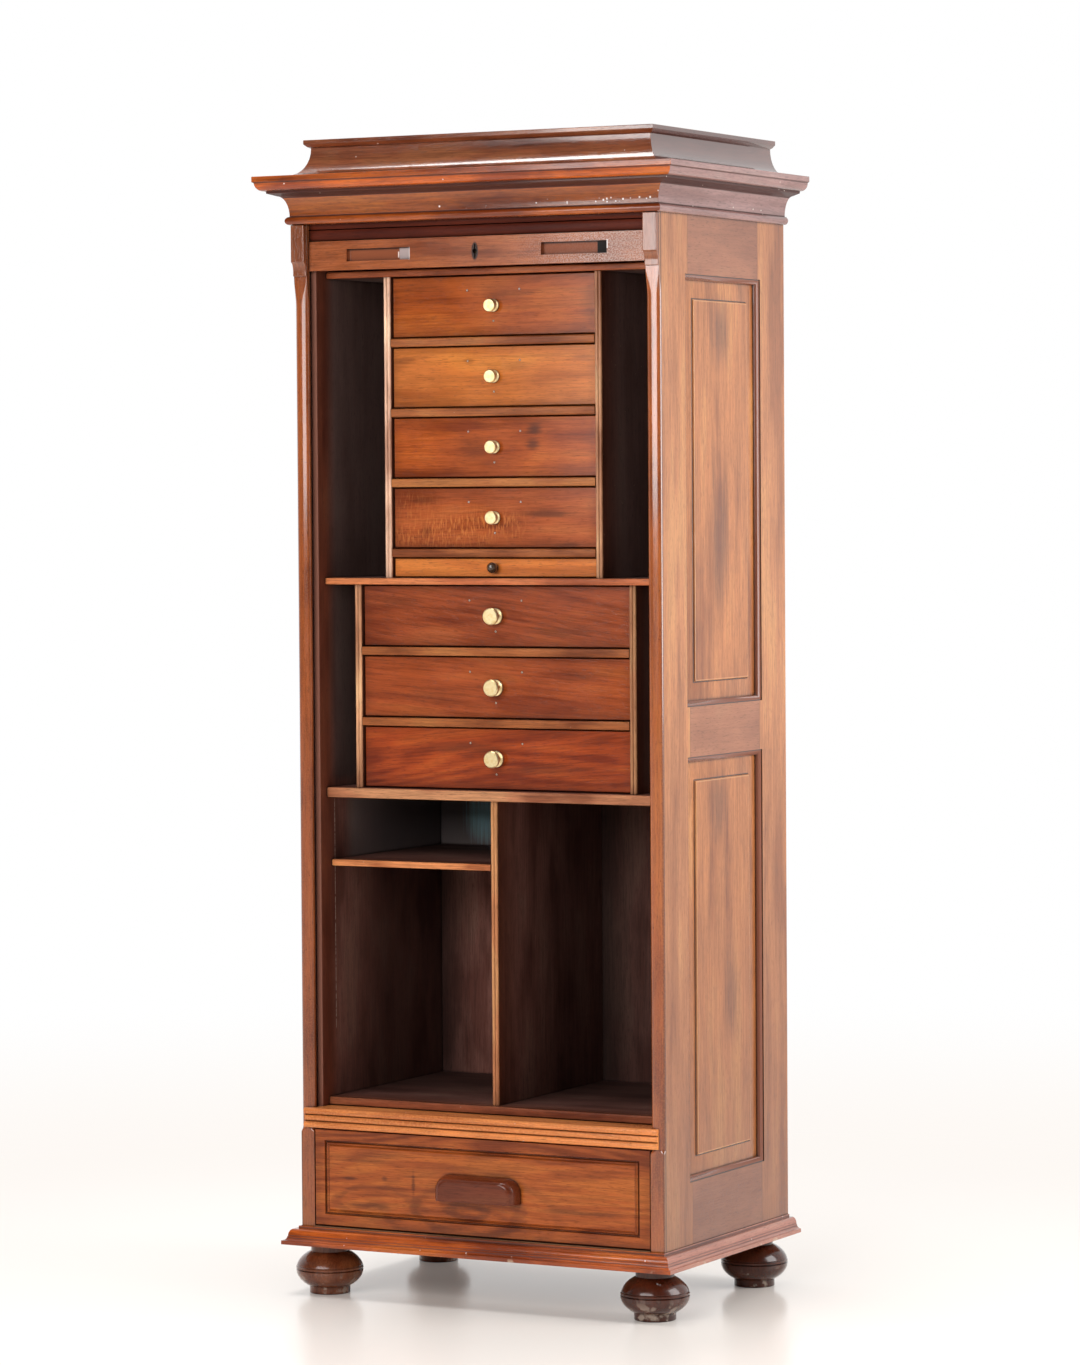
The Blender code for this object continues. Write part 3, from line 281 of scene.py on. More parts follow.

# Drawers: fronts, dovetails (their half width at the lap and at the back is a share of the pitch), painted
# shade at the rim
FRONT_T = 0.016
BOTTOM_FRONT_T = 0.019
DRAWER_SIDE_SKIN = 0.0022
DOVETAIL_PITCH = 0.024
DOVETAIL_LAP = 0.004
DOVETAIL_HALVES = (0.40, 0.28)
RIM_FADE = (-0.020, -0.001)
RIM_SHADE = 0.32

# Plugged holes of earlier handles: places from the middle of a front, and size
OLD_HOLES = ((-0.041, 0.022), (0.041, 0.022), (0.0, -0.021))
OLD_HOLE_R = 0.0017
OLD_HOLE_STEPS = 16
OLD_HOLE_PROFILE = ((1.0, -0.0004), (1.0, 0.00005), (0.72, 0.00012), (0.45, 0.0))

# Figured flecks on a drawer front: middle of their field from the middle of the front, and its half sizes
FLECKS_X = -0.066
FLECKS_UP = -0.012
FLECKS_HALF_W = 0.125
FLECKS_HALF_H = 0.036

# Drawers with knobs: tier, number in it, tone of the front, its figure, settings of the wood, and marks:
# (right of the front's middle, above its middle, half width, half height, strength)
MATT = dict(specular=0.22)
FIGURED = dict(specular=0.22, figure=0.70)
DRAWERS = (
    ("upper", 1, (0.36, 0.074, 0.011), dict(contrast=0.95, weights=(0.6, 0.9)), MATT, (
        (0.021, 0.017, 0.060, 0.016, 0.35), (0.150, 0.005, 0.022, 0.040, 0.30),
        (-0.120, 0.028, 0.060, 0.010, 0.25),
    )),
    ("upper", 2, (0.54, 0.152, 0.028), dict(contrast=0.80, weights=(0.5, 0.7)), MATT, (
        (-0.039, 0.022, 0.012, 0.006, 0.35), (0.033, 0.014, 0.035, 0.010, 0.30),
        (-0.141, 0.024, 0.025, 0.007, 0.35), (0.138, 0.024, 0.025, 0.007, 0.35),
    )),
    ("upper", 3, (0.39, 0.077, 0.012), dict(contrast=1.00, weights=(0.6, 0.9)), MATT, (
        (0.063, 0.025, 0.018, 0.012, 0.80), (0.060, 0.003, 0.016, 0.011, 0.75),
        (-0.034, 0.000, 0.040, 0.030, 0.28), (0.110, -0.028, 0.060, 0.008, 0.25),
    )),
    ("upper", 4, (0.36, 0.076, 0.018), dict(contrast=0.95, weights=(0.6, 0.8)), FIGURED, (
        (0.084, 0.006, 0.060, 0.009, 0.55), (0.117, -0.038, 0.022, 0.006, 0.55),
        (-0.113, 0.024, 0.035, 0.006, 0.40), (-0.109, -0.017, 0.014, 0.014, 0.35),
    )),
    ("lower", 1, (0.302, 0.060, 0.017), dict(contrast=0.95, rings=(0.019, 60.0), ring_weight=0.08),
     dict(slope=0.12), ((0.100, -0.020, 0.090, 0.012, 0.35), (-0.150, 0.020, 0.060, 0.012, 0.30))),
    ("lower", 2, (0.338, 0.065, 0.015), dict(contrast=0.90, rings=(0.023, 50.0), ring_weight=0.07),
     dict(slope=0.06), ((-0.100, -0.012, 0.080, 0.014, 0.35), (0.140, 0.018, 0.060, 0.012, 0.30))),
    ("lower", 3, (0.348, 0.052, 0.0085), dict(contrast=1.05, rings=(0.021, 70.0), ring_weight=0.16),
     dict(slope=-0.08), ((-0.060, 0.016, 0.110, 0.012, 0.45), (0.080, -0.014, 0.110, 0.011, 0.45))),
)
BOTTOM_MARKS = (
    (-0.175, -0.036, 0.062, 0.007, 0.65), (-0.105, -0.001, 0.004, 0.026, 0.60),
    (-0.207, 0.001, 0.016, 0.004, 0.60), (-0.170, 0.036, 0.075, 0.014, 0.30),
    (-0.151, 0.004, 0.007, 0.005, 0.55), (0.007, 0.044, 0.036, 0.010, 0.35),
    (-0.185, 0.026, 0.080, 0.0035, 0.55), (0.150, -0.024, 0.100, 0.005, 0.45),
)

# Knots on the bottom drawer: right of its middle, above it, reach of the arches, their spacing, strength
BOTTOM_KNOTS = ((-0.020, -0.034, 0.090, 0.026, 0.34), (-0.165, -0.034, 0.065, 0.023, 0.28))
ARCH_SQUASH = 0.40
ARCH_RAGGED = 0.050

# Figure of the writing slide and the bottom drawer
SLIDE_LOOKS = dict(contrast=0.6, rings=(0.016, 40.0), ring_weight=0.15)
BOTTOM_LOOKS = dict(contrast=1.0, rings=(0.022, 75.0), ring_weight=0.16)

# Boards inside the case: grain, tone of the front edge, seed and settings of the wood
INNER_BOARDS = {
    "lower_shelf": ("X", (0.445, 0.172, 0.082), 1.0, {}),
    "upper_shelf": ("X", (0.49, 0.135, 0.050), 2.0, {}),
    "compartment_floor": ("X", (0.27, 0.075, 0.032), 3.0, dict(dim=0.75)),
    "inner_ceiling": ("X", (0.36, 0.088, 0.030), 4.0, {}),
    "small_shelf": ("X", (0.75, 0.275, 0.102), 5.0, {}),
    "centre_partition": ("Z", (0.50, 0.195, 0.084), 6.0, dict(shade_and_dirt=0.4)),
    # The left partitions' paler edge tones are their own tone with a painted sheen for the highlights on
    # their beads.
    "lower_left_partition": ("Z", (0.70, 0.350, 0.185), 7.5, dict(shade_and_dirt=0.4)),
    "upper_left_partition": ("Z", (0.90, 0.550, 0.380), 7.0, dict(shade_and_dirt=0.3)),
    "lower_right_partition": ("Z", (0.40, 0.170, 0.080), 9.5, dict(shade_and_dirt=0.5)),
    "upper_right_partition": ("Z", (0.50, 0.230, 0.120), 9.0, dict(shade_and_dirt=0.5)),
}
DUST_BOARDS = [f"lower_dust_board_{i}" for i in (1, 2)] + [f"upper_dust_board_{i}" for i in (1, 2, 3, 4)]

# Eased edges: radius and steps
NOSE = dict(bevel=0.0016, segments=3)
DRAWER_EDGE = dict(bevel=0.0013, segments=3)
SLIDE_EDGE = dict(bevel=0.0011, segments=3)
BOTTOM_EDGE = dict(bevel=0.0010, segments=3)
CAPITAL_EDGE = dict(bevel=0.0022, segments=4)
PLAIN_EDGE = dict(bevel=0.0008)
FOOT_STEPS = 72
KNOB_STEPS = 56

# Keyhole: a round middle with a slit above and below, lined with a near-black tube as painted shade
KEYHOLE_R = 0.0042
KEYHOLE_SLIT_W = 0.0032
KEYHOLE_H = 0.020
KEYHOLE_STEPS = 8
LINER_GAP = 0.00005
LINER_T = 0.0006
LINER_DEPTH = 0.004

# Finger pulls: depth at which the rail's face is left, the shadow at their top, and their tones
PULL_DEPTH = 0.0012
PULL_SHADOW = (0.0085, 0.0050)
PULL_TONES = ((0.030, 0.009, 0.005), (0.24, 0.060, 0.020))
# Run along the lead rail over which its painted sheen rises
RAIL_SHEEN = (0.02, 0.25)

# Old repairs in the finger pulls: left, right, low and high about the lead rail's middle, and colour
PATCH_SOFT_X = 0.0004
PATCH_SOFT_Z = 0.0005
PULL_PATCHES = (
    (-0.1225, -0.1030, -0.0080, 0.0080, (0.42, 0.33, 0.32)),
    (-0.1250, -0.1232, -0.0050, 0.0030, (0.85, 0.75, 0.70)),
    (-0.1056, -0.1027, -0.0085, 0.0085, (0.85, 0.78, 0.76)),
    (0.1860, 0.2036, -0.0085, 0.0085, (0.010, 0.008, 0.007)),
    (0.2036, 0.2050, -0.0020, 0.0100, (0.85, 0.80, 0.78)),
)

# Heights between which the feet are scuffed
SCUFF_Z = (0.004, 0.040)

# Curtain: slats, the plane behind which it is stored, and the stack behind the cornice
SLAT_PITCH = 0.016
SLAT_T = 0.009
SLAT_GROOVE_T = 0.0035
SLAT_CROWN = 0.0011
SLAT_SHOULDER = 0.0008
CROWN_STEPS = (0.18, 0.34, 0.5, 0.66, 0.82)
CURTAIN_GAP = 0.0003
CURTAIN_CUT_Y = -0.140
STACK_TOP_Z = CORNICE_HIGH.z - 0.0015
STACK_LOW_Z = CORNICE_LOW.z
STACK_GAP = 0.0005
HALVINGS = 48
STORED_DEGREES = 24
THREADS = 5200.0


def method_for(operation, swapped=False):
    """A method that adds a node for one operation on a value and what stands beside it."""
    def method(self, *other):
        values = (*other, self) if swapped else (self, *other)
        node = self.nodes.add(self.kind, enumerate(values), operation=operation)
        return Value(self.nodes, node.outputs[0], self.kind)
    return method


class Value:
    """A number that nodes work out, or a vector if its kind is VectorMath. Its sums add nodes to the tree."""

    __add__ = method_for("ADD")
    __sub__ = method_for("SUBTRACT")
    __rsub__ = method_for("SUBTRACT", swapped=True)
    __mul__ = method_for("MULTIPLY")
    __truediv__ = method_for("DIVIDE")
    __gt__ = method_for("GREATER_THAN")
    __lt__ = method_for("LESS_THAN")
    __abs__ = method_for("ABSOLUTE")

    def __init__(self, nodes, socket, kind="Math"):
        self.nodes = nodes
        self.socket = socket
        self.kind = kind

    def length(self):
        node = self.nodes.add("VectorMath", {0: self}, operation="LENGTH")
        return Value(self.nodes, node.outputs["Value"])


class Nodes:
    """Adds nodes to one tree."""

    def __init__(self, tree):
        self.tree = tree

    def add(self, kind, inputs=(), **settings):
        node = self.tree.nodes.new("ShaderNode" + kind)
        for key, value in settings.items():
            setattr(node, key, value)
        for key, value in dict(inputs).items():
            self.feed(node.inputs[key], value)
        return node

    def feed(self, socket, value):
        """Link a value or a socket to a socket, or set it to a constant; a colour's alpha is 1."""
        if isinstance(value, Value):
            value = value.socket
        if isinstance(value, bpy.types.NodeSocket):
            self.tree.links.new(value, socket)
        elif socket.type == "RGBA":
            socket.default_value = (*value, 1)
        else:
            socket.default_value = value

    def math(self, operation, *values):
        return Value(self, self.add("Math", enumerate(values), operation=operation).outputs[0])

    def axes(self, vector):
        parts = self.add("SeparateXYZ", {0: vector}).outputs
        return [Value(self, part) for part in parts]

    def combine(self, x, y, z):
        return Value(self, self.add("CombineXYZ", {0: x, 1: y, 2: z}).outputs[0], "VectorMath")

    def remap(self, value, low, high, to_low=0.0, to_high=1.0, smooth=True):
        inputs = {"Value": value, "From Min": low, "From Max": high, "To Min": to_low, "To Max": to_high}
        node = self.add("MapRange", inputs, interpolation_type="SMOOTHSTEP" if smooth else "LINEAR")
        return Value(self, node.outputs["Result"])

    def within(self, value, low, high, soft):
        """A mask that is 1 between low and high, with soft ends."""
        rise = self.remap(value, low - soft, low + soft)
        return rise * self.remap(value, high - soft, high + soft, 1.0, 0.0)

    def mix(self, share, first, second, blend="MIX"):
        node = self.add("Mix", data_type="RGBA", blend_type=blend)
        self.feed(node.inputs[0], share)
        self.feed(node.inputs[6], first)
        self.feed(node.inputs[7], second)
        return node.outputs[2]

    def choose(self, share, first, second):
        """A vector that is first where share is 0 and second where it is 1."""
        node = self.add("Mix", data_type="VECTOR")
        self.feed(node.inputs[0], share)
        self.feed(node.inputs[4], first)
        self.feed(node.inputs[5], second)
        return Value(self, node.outputs[1], "VectorMath")

    def ramp(self, value, stops):
        node = self.add("ValToRGB", {0: value})
        bar = node.color_ramp.elements
        bar[0].position, bar[0].color = stops[0][0], (*stops[0][1], 1)
        bar[1].position, bar[1].color = stops[-1][0], (*stops[-1][1], 1)
        for position, color in stops[1:-1]:
            bar.new(position).color = (*color, 1)
        return node.outputs[0]


class Graph(Nodes):
    """Builds one material over a piece's own coordinates."""

    def __init__(self, name):
        self.material = bpy.data.materials.new(name)
        self.material.use_nodes = True
        super().__init__(self.material.node_tree)
        self.shader = self.tree.nodes["Principled BSDF"]
        self.place = Value(self, self.add("TexCoord").outputs["Object"], "VectorMath")
        self.x, self.y, self.z = self.axes(self.place)

    def noise(self, vector, detail=2.0, roughness=0.5, color=False):
        inputs = {"Vector": vector, "Scale": 1.0, "Detail": detail, "Roughness": roughness}
        outputs = self.add("TexNoise", inputs).outputs
        return Value(self, outputs["Color"], "VectorMath") if color else Value(self, outputs["Fac"])

    def scaled_noise(self, scale, detail=2.0):
        return self.noise(self.place * (scale, scale, scale), detail)

    def surface(self, inputs):
        """Feed the shader's inputs by their names. Gives the finished material."""
        for key, value in inputs.items():
            self.feed(self.shader.inputs[key], value)
        return self.material


def shade(color, factor):
    return tuple(channel * factor for channel in color)


def tinted(color, factors):
    return tuple(channel * factor for channel, factor in zip(color, factors))


def along_axis(graph, axis):
    """Object coordinates turned so that the first one runs along the grain."""
    x, y, z = graph.x, graph.y, graph.z
    return graph.combine(*{"X": (x, z, y), "Y": (y, z, x), "Z": (z, x, y)}[axis])


class Wood:
    """Grain layers over one board's coordinates, kept so that a material can use each of them."""

    def __init__(self, graph, grain, seed=0.0, waviness=WAVINESS, cloud=CLOUD, slope=0.0):
        self.graph = graph
        self.flat = grain
        moved = grain + shade(SEED_STEP, seed)
        if slope:
            moved = moved + graph.combine(0.0, graph.axes(grain)[0] * slope, 0.0)
        warp = graph.noise(moved * WARP, color=True) - (0.5, 0.5, 0.5)
        self.grain = moved + warp * (0, waviness, waviness)
        self.bands = self.layer(*BANDS)
        self.streaks = self.layer(*STREAKS)
        self.fibre = self.layer(*FIBRE)
        self.clouds = self.layer(*cloud, *CLOUD_NOISE)
        self.pores = graph.remap(self.layer(*PORES), 0.58, 0.70)
        self.lines = graph.remap(self.streaks * 0.55 + self.fibre * 0.45, 0.36, 0.60)

    def layer(self, along, across, detail, roughness):
        return self.graph.noise(self.grain * (along, across, across), detail, roughness)

    def rings(self, spacing, swirl):
        """Growth lines across the grain, bent into arches by swirl, which is in radians."""
        bend = (self.layer(*RING_BENDS) - 0.5) * swirl
        phase = self.graph.axes(self.grain)[1] * (2 * pi / spacing) + bend
        return self.graph.remap(self.graph.math("SINE", phase), -1.0, 1.0, smooth=False)


def board(name, axis, seed, waviness=WAVINESS, slope=0.0):
    """A new material's graph, and the wood of a board with its grain along one axis."""
    graph = Graph(name)
    return graph, Wood(graph, along_axis(graph, axis), seed, waviness, slope=slope)


def wood_stops(tone, contrast):
    """A ramp from a deep red-brown through the wood's own tone to a golden one."""
    deep = tinted(tone, [1 - loss * contrast for loss in DEEP_LOSS])
    golden = tinted(tone, [1 + gain * contrast for gain in GOLDEN_GAIN])
    return ((0.20, deep), (0.45, shade(tone, 0.95)), (0.58, shade(tone, 1.06)), (0.82, golden))


def wood_color(wood, tone, contrast=0.8, weights=(0.65, 0.8), rings=None, ring_weight=0.25):
    """Broad warm bands and clouds, dark lines along the grain, and pores; rings is (spacing, swirl)."""
    graph = wood.graph
    layers = list(zip((wood.bands, wood.clouds), weights))
    if rings:
        layers.append((wood.rings(*rings), ring_weight))
    total = 0.5
    for layer, weight in layers:
        total = (layer - 0.5) * (2 * weight) + total
    color = graph.ramp(total, wood_stops(tone, contrast))
    lines = wood.lines * (LINE_DEPTH * contrast) + (LINE_LIGHT - LINE_DEPTH * contrast)
    color = graph.mix(1.0, color, lines, "MULTIPLY")
    return graph.mix(wood.pores * 0.40, color, shade(tone, 0.25))


def stain(wood, color, marks, tint=STAIN_TINT):
    """Soft patches: each is (along, across, reach along, reach across, strength) on the board."""
    ragged = wood.streaks * 0.9 - 0.45
    for along, across, reach_along, reach_across, strength in marks:
        gap = (wood.flat - (along, across, 0.0)) * (1 / reach_along, 1 / reach_across, 0.0)
        share = wood.graph.remap(gap.length() + ragged, 0.15, 1.0, strength, 0.0)
        color = wood.graph.mix(share, color, tint)
    return color


def ribbon(wood, color, tone, amount, middle_z):
    """Golden flecks across the grain, as in figured wood, over the lower left of a front."""
    graph = wood.graph
    flecks = graph.remap(wood.layer(*CROSS_FLECKS), 0.46, 0.64, 0.0, amount)
    off = wood.flat - (FLECKS_X, middle_z + FLECKS_UP, 0.0)
    off = (off * (1 / FLECKS_HALF_W, 1 / FLECKS_HALF_H, 0.0)).length()
    patches = graph.remap(wood.clouds * 2.6 + off, 1.5, 2.6, 1.0, 0.0)
    return graph.mix(flecks * patches, color, tinted(tone, FLECK_GAIN))


def arches(wood, color, centre, reach, spacing, strength):
    """Dark growth lines that arch round a knot; centre is (along, across) on the board."""
    graph = wood.graph
    off = ((wood.flat - (*centre, 0.0)) * (ARCH_SQUASH, 1.0, 0.0)).length()
    wave = graph.math("SINE", (wood.clouds * ARCH_RAGGED + off) * (2 * pi / spacing))
    near = graph.remap(off, 0.3 * reach, reach, strength, 0.0)
    return graph.mix(graph.remap(wave, 0.1, 1.0) * near, color, STAIN_TINT)


def dots(graph, cell, share, fade):
    """A mask of dots in a share of the cells of a grid; fade is their edge, in cells from the middle."""
    cells = graph.add("TexVoronoi", {"Vector": graph.place, "Scale": 1 / cell}).outputs
    chosen = graph.axes(cells["Color"])[0] < share
    return chosen * graph.remap(cells["Distance"], *fade, 1.0, 0.0)


def specks(graph, color, cell, size, share, tint):
    """Small knocks, one in some of the cells of a grid."""
    return graph.mix(dots(graph, cell, share, (0.4 * size / cell, size / cell)), color, tint)


def mottled(graph, color, tone):
    """Golden mottling where the varnish has worn thin."""
    worn = graph.remap(graph.scaled_noise(MOTTLE_SCALE), 0.46, 0.62, 0.0, MOTTLE)
    return graph.mix(worn, color, tinted(tone, WORN_GAIN))


def shade_and_grime(graph, color, reach, strength):
    """Painted shade: darker where the occlusion node finds corners, grooves and pieces close by; it stands
    also for dirt and old polish gathered there.
    """
    open_share = graph.add("AmbientOcclusion", {"Distance": reach}, samples=6).outputs["AO"]
    return graph.mix(graph.remap(open_share, 0.35, 0.90, strength, 0.0), color, NEAR_BLACK_TINT)


def polish(wood, color, rough=(0.14, 0.23), dull=None, bump=0.2, specular=0.3, coat=0.12, coat_rough=0.10,
           crackle=0.4, shade_and_dirt=0.85):
    """Old polish: roughness that follows the grain, pores, painted shade and dirt in corners, and crackled
    varnish.
    """
    graph = wood.graph
    gloss = (wood.streaks - 0.5) * 0.5 + graph.scaled_noise(9.0, 3.0)
    gloss = graph.remap(gloss, 0.3, 0.7, *rough)
    if dull is not None:
        gloss = graph.math("MAXIMUM", gloss, dull)
    relief = wood.pores * -0.8 + wood.fibre * 0.5
    relief = graph.scaled_noise(CRACKLE_SCALE, 1.0) * crackle + relief
    bumped = graph.add("Bump", {"Strength": bump, "Distance": RELIEF_DEPTH, "Height": relief})
    return graph.surface({
        "Base Color": shade_and_grime(graph, color, SHADE_AND_GRIME_REACH, shade_and_dirt), "Roughness": gloss, "Normal": bumped.outputs[0],
        "Specular IOR Level": specular, "Coat Weight": coat, "Coat Roughness": coat_rough,
    })


def board_wood(name, tone, axis, seed, looks=(), **finish):
    """A plain board with its grain along one axis."""
    _, wood = board(name, axis, seed)
    return polish(wood, wood_color(wood, tone, **dict(looks)), **finish)


def rail_wood(name, tone):
    """The waist rail: worn and knocked."""
    graph, wood = board(name, "X", 5.0)
    color = mottled(graph, wood_color(wood, tone, **BOLD), tone)
    color = specks(graph, color, KNOCK_CELL, KNOCK_SIZE, 0.14, KNOCK_TINT)
    return polish(wood, color, shade_and_dirt=0.9)


def dovetails(graph, side_x, face_y, front_t):
    """A mask of the tails that a drawer's sides let into the ends of its front."""
    depth = graph.y - face_y
    step = abs(graph.math("FRACT", graph.z / DOVETAIL_PITCH) - 0.5)
    half = graph.remap(depth, DOVETAIL_LAP, front_t, *DOVETAIL_HALVES, smooth=False)
    return (abs(graph.x) > side_x) * (depth > DOVETAIL_LAP) * (step < half)


def drawer_wood(node, tone, seed, marks=(), looks=(), figure=0.0, front_t=FRONT_T, slope=0.0, knots=(),
                **finish):
    """A drawer: a polished front on a pale box. Marks are placed from the front's middle."""
    low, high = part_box(node)
    middle_z = (low.z + high.z) / 2
    graph, wood = board(node.replace("_", " ") + " wood", "X", seed, slope=slope)
    color = wood_color(wood, tone, **dict(looks))
    if figure:
        color = ribbon(wood, color, tone, figure, middle_z)
    for along, up, *swirl in knots:
        color = arches(wood, color, (along, middle_z + up), *swirl)
    color = stain(wood, color, [(along, middle_z + up, *reach) for along, up, *reach in marks])
    rim = graph.math("MAXIMUM", abs(graph.x) - high.x, abs(graph.z - middle_z) - (high.z - middle_z))
    # Painted shade: each front darkens towards its rim, where the case round it shades it.
    color = graph.mix(graph.remap(rim, *RIM_FADE, 0.0, RIM_SHADE), color, shade(tone, 0.30))
    plain = Wood(graph, along_axis(graph, "Y"), seed + 3)
    behind = graph.y > low.y + front_t + NUDGE
    shown = graph.math("MAXIMUM", behind, dovetails(graph, high.x - DRAWER_SIDE_SKIN, low.y, front_t))
    return polish(wood, graph.mix(shown, color, wood_color(plain, BOX_TONE, 0.5)), **finish)


def moulding_side(graph):
    """A mask that is 1 on the side runs of a moulding and 0 on its front run and on the lid."""
    return (abs(graph.x) - CASE_X > DATUM_Y - graph.y) * (graph.z < LID_Z)


def shaded_hollows(graph, color, foot_z, lines):
    """Painted shade in a moulding's hollows, and where it lies: each line is (low, high, strength) above the
    foot.
    """
    dirt_and_shade = 0.0
    for low, high, strength in lines:
        line = graph.within(graph.z - foot_z, low, high, QUIRK_SOFT) * strength
        dirt_and_shade = graph.math("MAXIMUM", line, dirt_and_shade)
    return graph.mix(dirt_and_shade, color, HOLLOW_SHADE_TINT), dirt_and_shade


def shaded_members(graph, color, foot_z, bands):
    """Painted light and shade on a moulding's members, lighter or darker: each band is (low, high, tint)
    above the foot.
    """
    for low, high, tint in bands:
        color = graph.mix(graph.within(graph.z - foot_z, low, high, BAND_SOFT), color, tint, "MULTIPLY")
    return color


def paint_specks(graph, color):
    """Old paint specks low on the right of the cornice's cove."""
    share = graph.remap(graph.x, *PAINT_RUN, 0.0, PAINT_SHARE) * graph.within(graph.z, *PAINT_Z, PAINT_SOFT)
    front = 1.0 - moulding_side(graph)
    return graph.mix(dots(graph, PAINT_CELL, share, (0.12, 0.30)) * front, color, PAINT_TINT)


def chipped(graph, color, strength):
    """Bare wood along the base's lower edge."""
    broken = graph.remap(graph.scaled_noise(26.0, 4.0), 0.60, 0.64, 0.0, strength)
    return graph.mix(graph.remap(graph.z, *CHIP_Z, 1.0, 0.0) * broken, color, CHIP_TINT)


def moulding_wood(name, tone, side_tone, seed, knocks, foot_z=0.0, lines=(), bands=(), painted=False,
                  chips=0.0, **finish):
    """A mitred moulding with knocks, side runs greyer with painted sheen, and, if asked, painted light and
    shade on its members, painted shade in its hollows, paint specks or a chipped lower edge.
    """
    graph = Graph(name)
    side = moulding_side(graph)
    turned = graph.combine(graph.y + MOULDING_SHIFT, graph.z, graph.x)
    wood = Wood(graph, graph.choose(side, along_axis(graph, "X"), turned), seed)
    front_color = shaded_members(graph, wood_color(wood, tone, **RICH), foot_z, bands)
    # Painted sheen: the side runs take their own, greyer tone for the haze they reflect.
    color = graph.mix(side, front_color, wood_color(wood, side_tone, 0.6))
    dirt_and_shade = None
    if lines:
        color, dirt_and_shade = shaded_hollows(graph, color, foot_z, lines)
    if painted:
        color = paint_specks(graph, color)
    color = specks(graph, color, KNOCK_CELL, KNOCK_SIZE, knocks, KNOCK_TINT)
    if chips:
        color = chipped(graph, color, chips)
    return polish(wood, color, dull=dirt_and_shade, **finish)


def outside(graph, node, inset):
    """How far a point of a side lies outside a panel's box drawn in by inset; it is below 0 inside."""
    low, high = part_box(node)
    middle = (low + high) / 2
    half = (high - low) / 2
    off_y = abs(graph.y - middle.y) - (half.y - inset)
    return graph.math("MAXIMUM", off_y, abs(graph.z - middle.z) - (half.z - inset))


def ovolo_line(graph, color):
    """The moulded edge round both panel openings, redder and darker, with a painted shadow in its quirk."""
    off = [outside(graph, f"right_{level}_panel", PANEL_REBATE) for level in ("upper", "lower")]
    reach = graph.math("MINIMUM", *off)
    color = graph.mix(graph.within(reach, OVOLO_START, OVOLO_W, QUIRK_SOFT), color, OVOLO_TINT)
    return graph.mix(graph.within(reach, *OVOLO_QUIRK, QUIRK_SOFT) * 0.75, color, NEAR_BLACK_TINT)


def side_shade(graph, color):
    """Painted shade on a side: darker towards the floor and under the cornice."""
    low = graph.remap(graph.z, *SIDE_SHADE_LOW, 0.48, 0.0)
    high = graph.remap(graph.z, *SIDE_SHADE_HIGH, 0.0, 0.22)
    return graph.mix(graph.math("MAXIMUM", low, high), color, SIDE_SHADE_TINT)


def side_frame_wood(name, stile_tone, rail_tone, front_tone):
    """Upright grain on a side frame's stiles, level and greyer on its rails; a darker front and track."""
    graph = Graph(name)
    half = (PANEL_HIGH.y - PANEL_LOW.y) / 2 - PANEL_REBATE
    off = abs(graph.y - (PANEL_LOW.y + PANEL_HIGH.y) / 2)
    stile = Wood(graph, graph.combine(graph.z, graph.y, graph.x), 1.0, cloud=STILE_CLOUD)
    rail = Wood(graph, graph.combine(graph.y + RAIL_SHIFT, graph.z, graph.x), 2.0, cloud=RAIL_CLOUD)
    rails = wood_color(rail, rail_tone, 0.45, (0.2, 0.8))
    color = side_shade(graph, graph.mix(off < half, wood_color(stile, stile_tone), rails))
    color = ovolo_line(graph, color)
    fronts = wood_color(Wood(graph, along_axis(graph, "Z"), 3.0), front_tone, 0.9)
    out_x = CASE_X - abs(graph.x)
    depth = graph.y - SIDE_LOW.y
    front = (depth < STILE_LIP_T + NUDGE) * (out_x > ARRIS_SKIN)
    color = graph.mix(front, color, fronts)
    arris = graph.within(depth, *ARRIS_DEPTHS, ARRIS_SOFT) * (out_x < ARRIS_W)
    color = graph.mix(arris * 0.65, color, shade(front_tone, 0.3))
    track = (depth > STILE_LIP_T + NUDGE) * (out_x > SIDE_T - TRACK_SKIN)
    color = graph.mix(track, color, INNER_TONE)
    joint = graph.remap(abs(off - half), 0.0, JOINT_W, 0.6, 0.0)
    color = graph.mix(joint, color, shade(stile_tone, 0.15))
    color = specks(graph, color, DENT_CELL, DENT_SIZE, 0.10, DENT_TINT)
    return polish(stile, color, **RUBBED)


def stile_front_wood(name, tone, **gloss):
    """The stiles' rounded fronts: glossy, red-brown and speckled, darker along the outer arris."""
    graph, wood = board(name, "Z", 3.0)
    dark_tone = shade(tone, 0.3)
    arris = graph.remap(CASE_X - abs(graph.x), *FRONT_ARRIS, 0.8, 0.0)
    color = mottled(graph, graph.mix(arris, wood_color(wood, tone, 0.9), dark_tone), tone)
    color = specks(graph, color, STILE_SPECK_CELL, STILE_SPECK_SIZE, 0.25, dark_tone)
    return polish(wood, color, (0.12, 0.20), bump=0.14, coat_rough=0.09, crackle=0.5, **gloss)


def field_line(graph, color, node):
    """The step round a panel's raised field: a painted highlight on its arris, and painted shade outside it.
    """
    reach = outside(graph, node, PANEL_REBATE + FIELD_MARGIN)
    color = graph.mix(graph.within(reach, *FIELD_ARRIS, FIELD_ARRIS_SOFT) * 0.40, color, FIELD_HIGHLIGHT_TINT)
    return graph.mix(graph.within(reach, *FIELD_SHADE, QUIRK_SOFT) * 0.92, color, NEAR_BLACK_TINT)


def panel_wood(name, marks, seed):
    """A side panel: upright grain over its width, which is Y, with a few dark clouds."""
    graph = Graph(name)
    wood = Wood(graph, graph.combine(graph.z, graph.y, graph.x), seed, cloud=PANEL_CLOUD)
    color = wood_color(wood, PANEL_TONE, 0.95, (0.5, 0.65))
    color = side_shade(graph, stain(wood, color, marks, PANEL_STAIN_TINT))
    return polish(wood, field_line(graph, color, name), shade_and_dirt=0.95, **RUBBED)


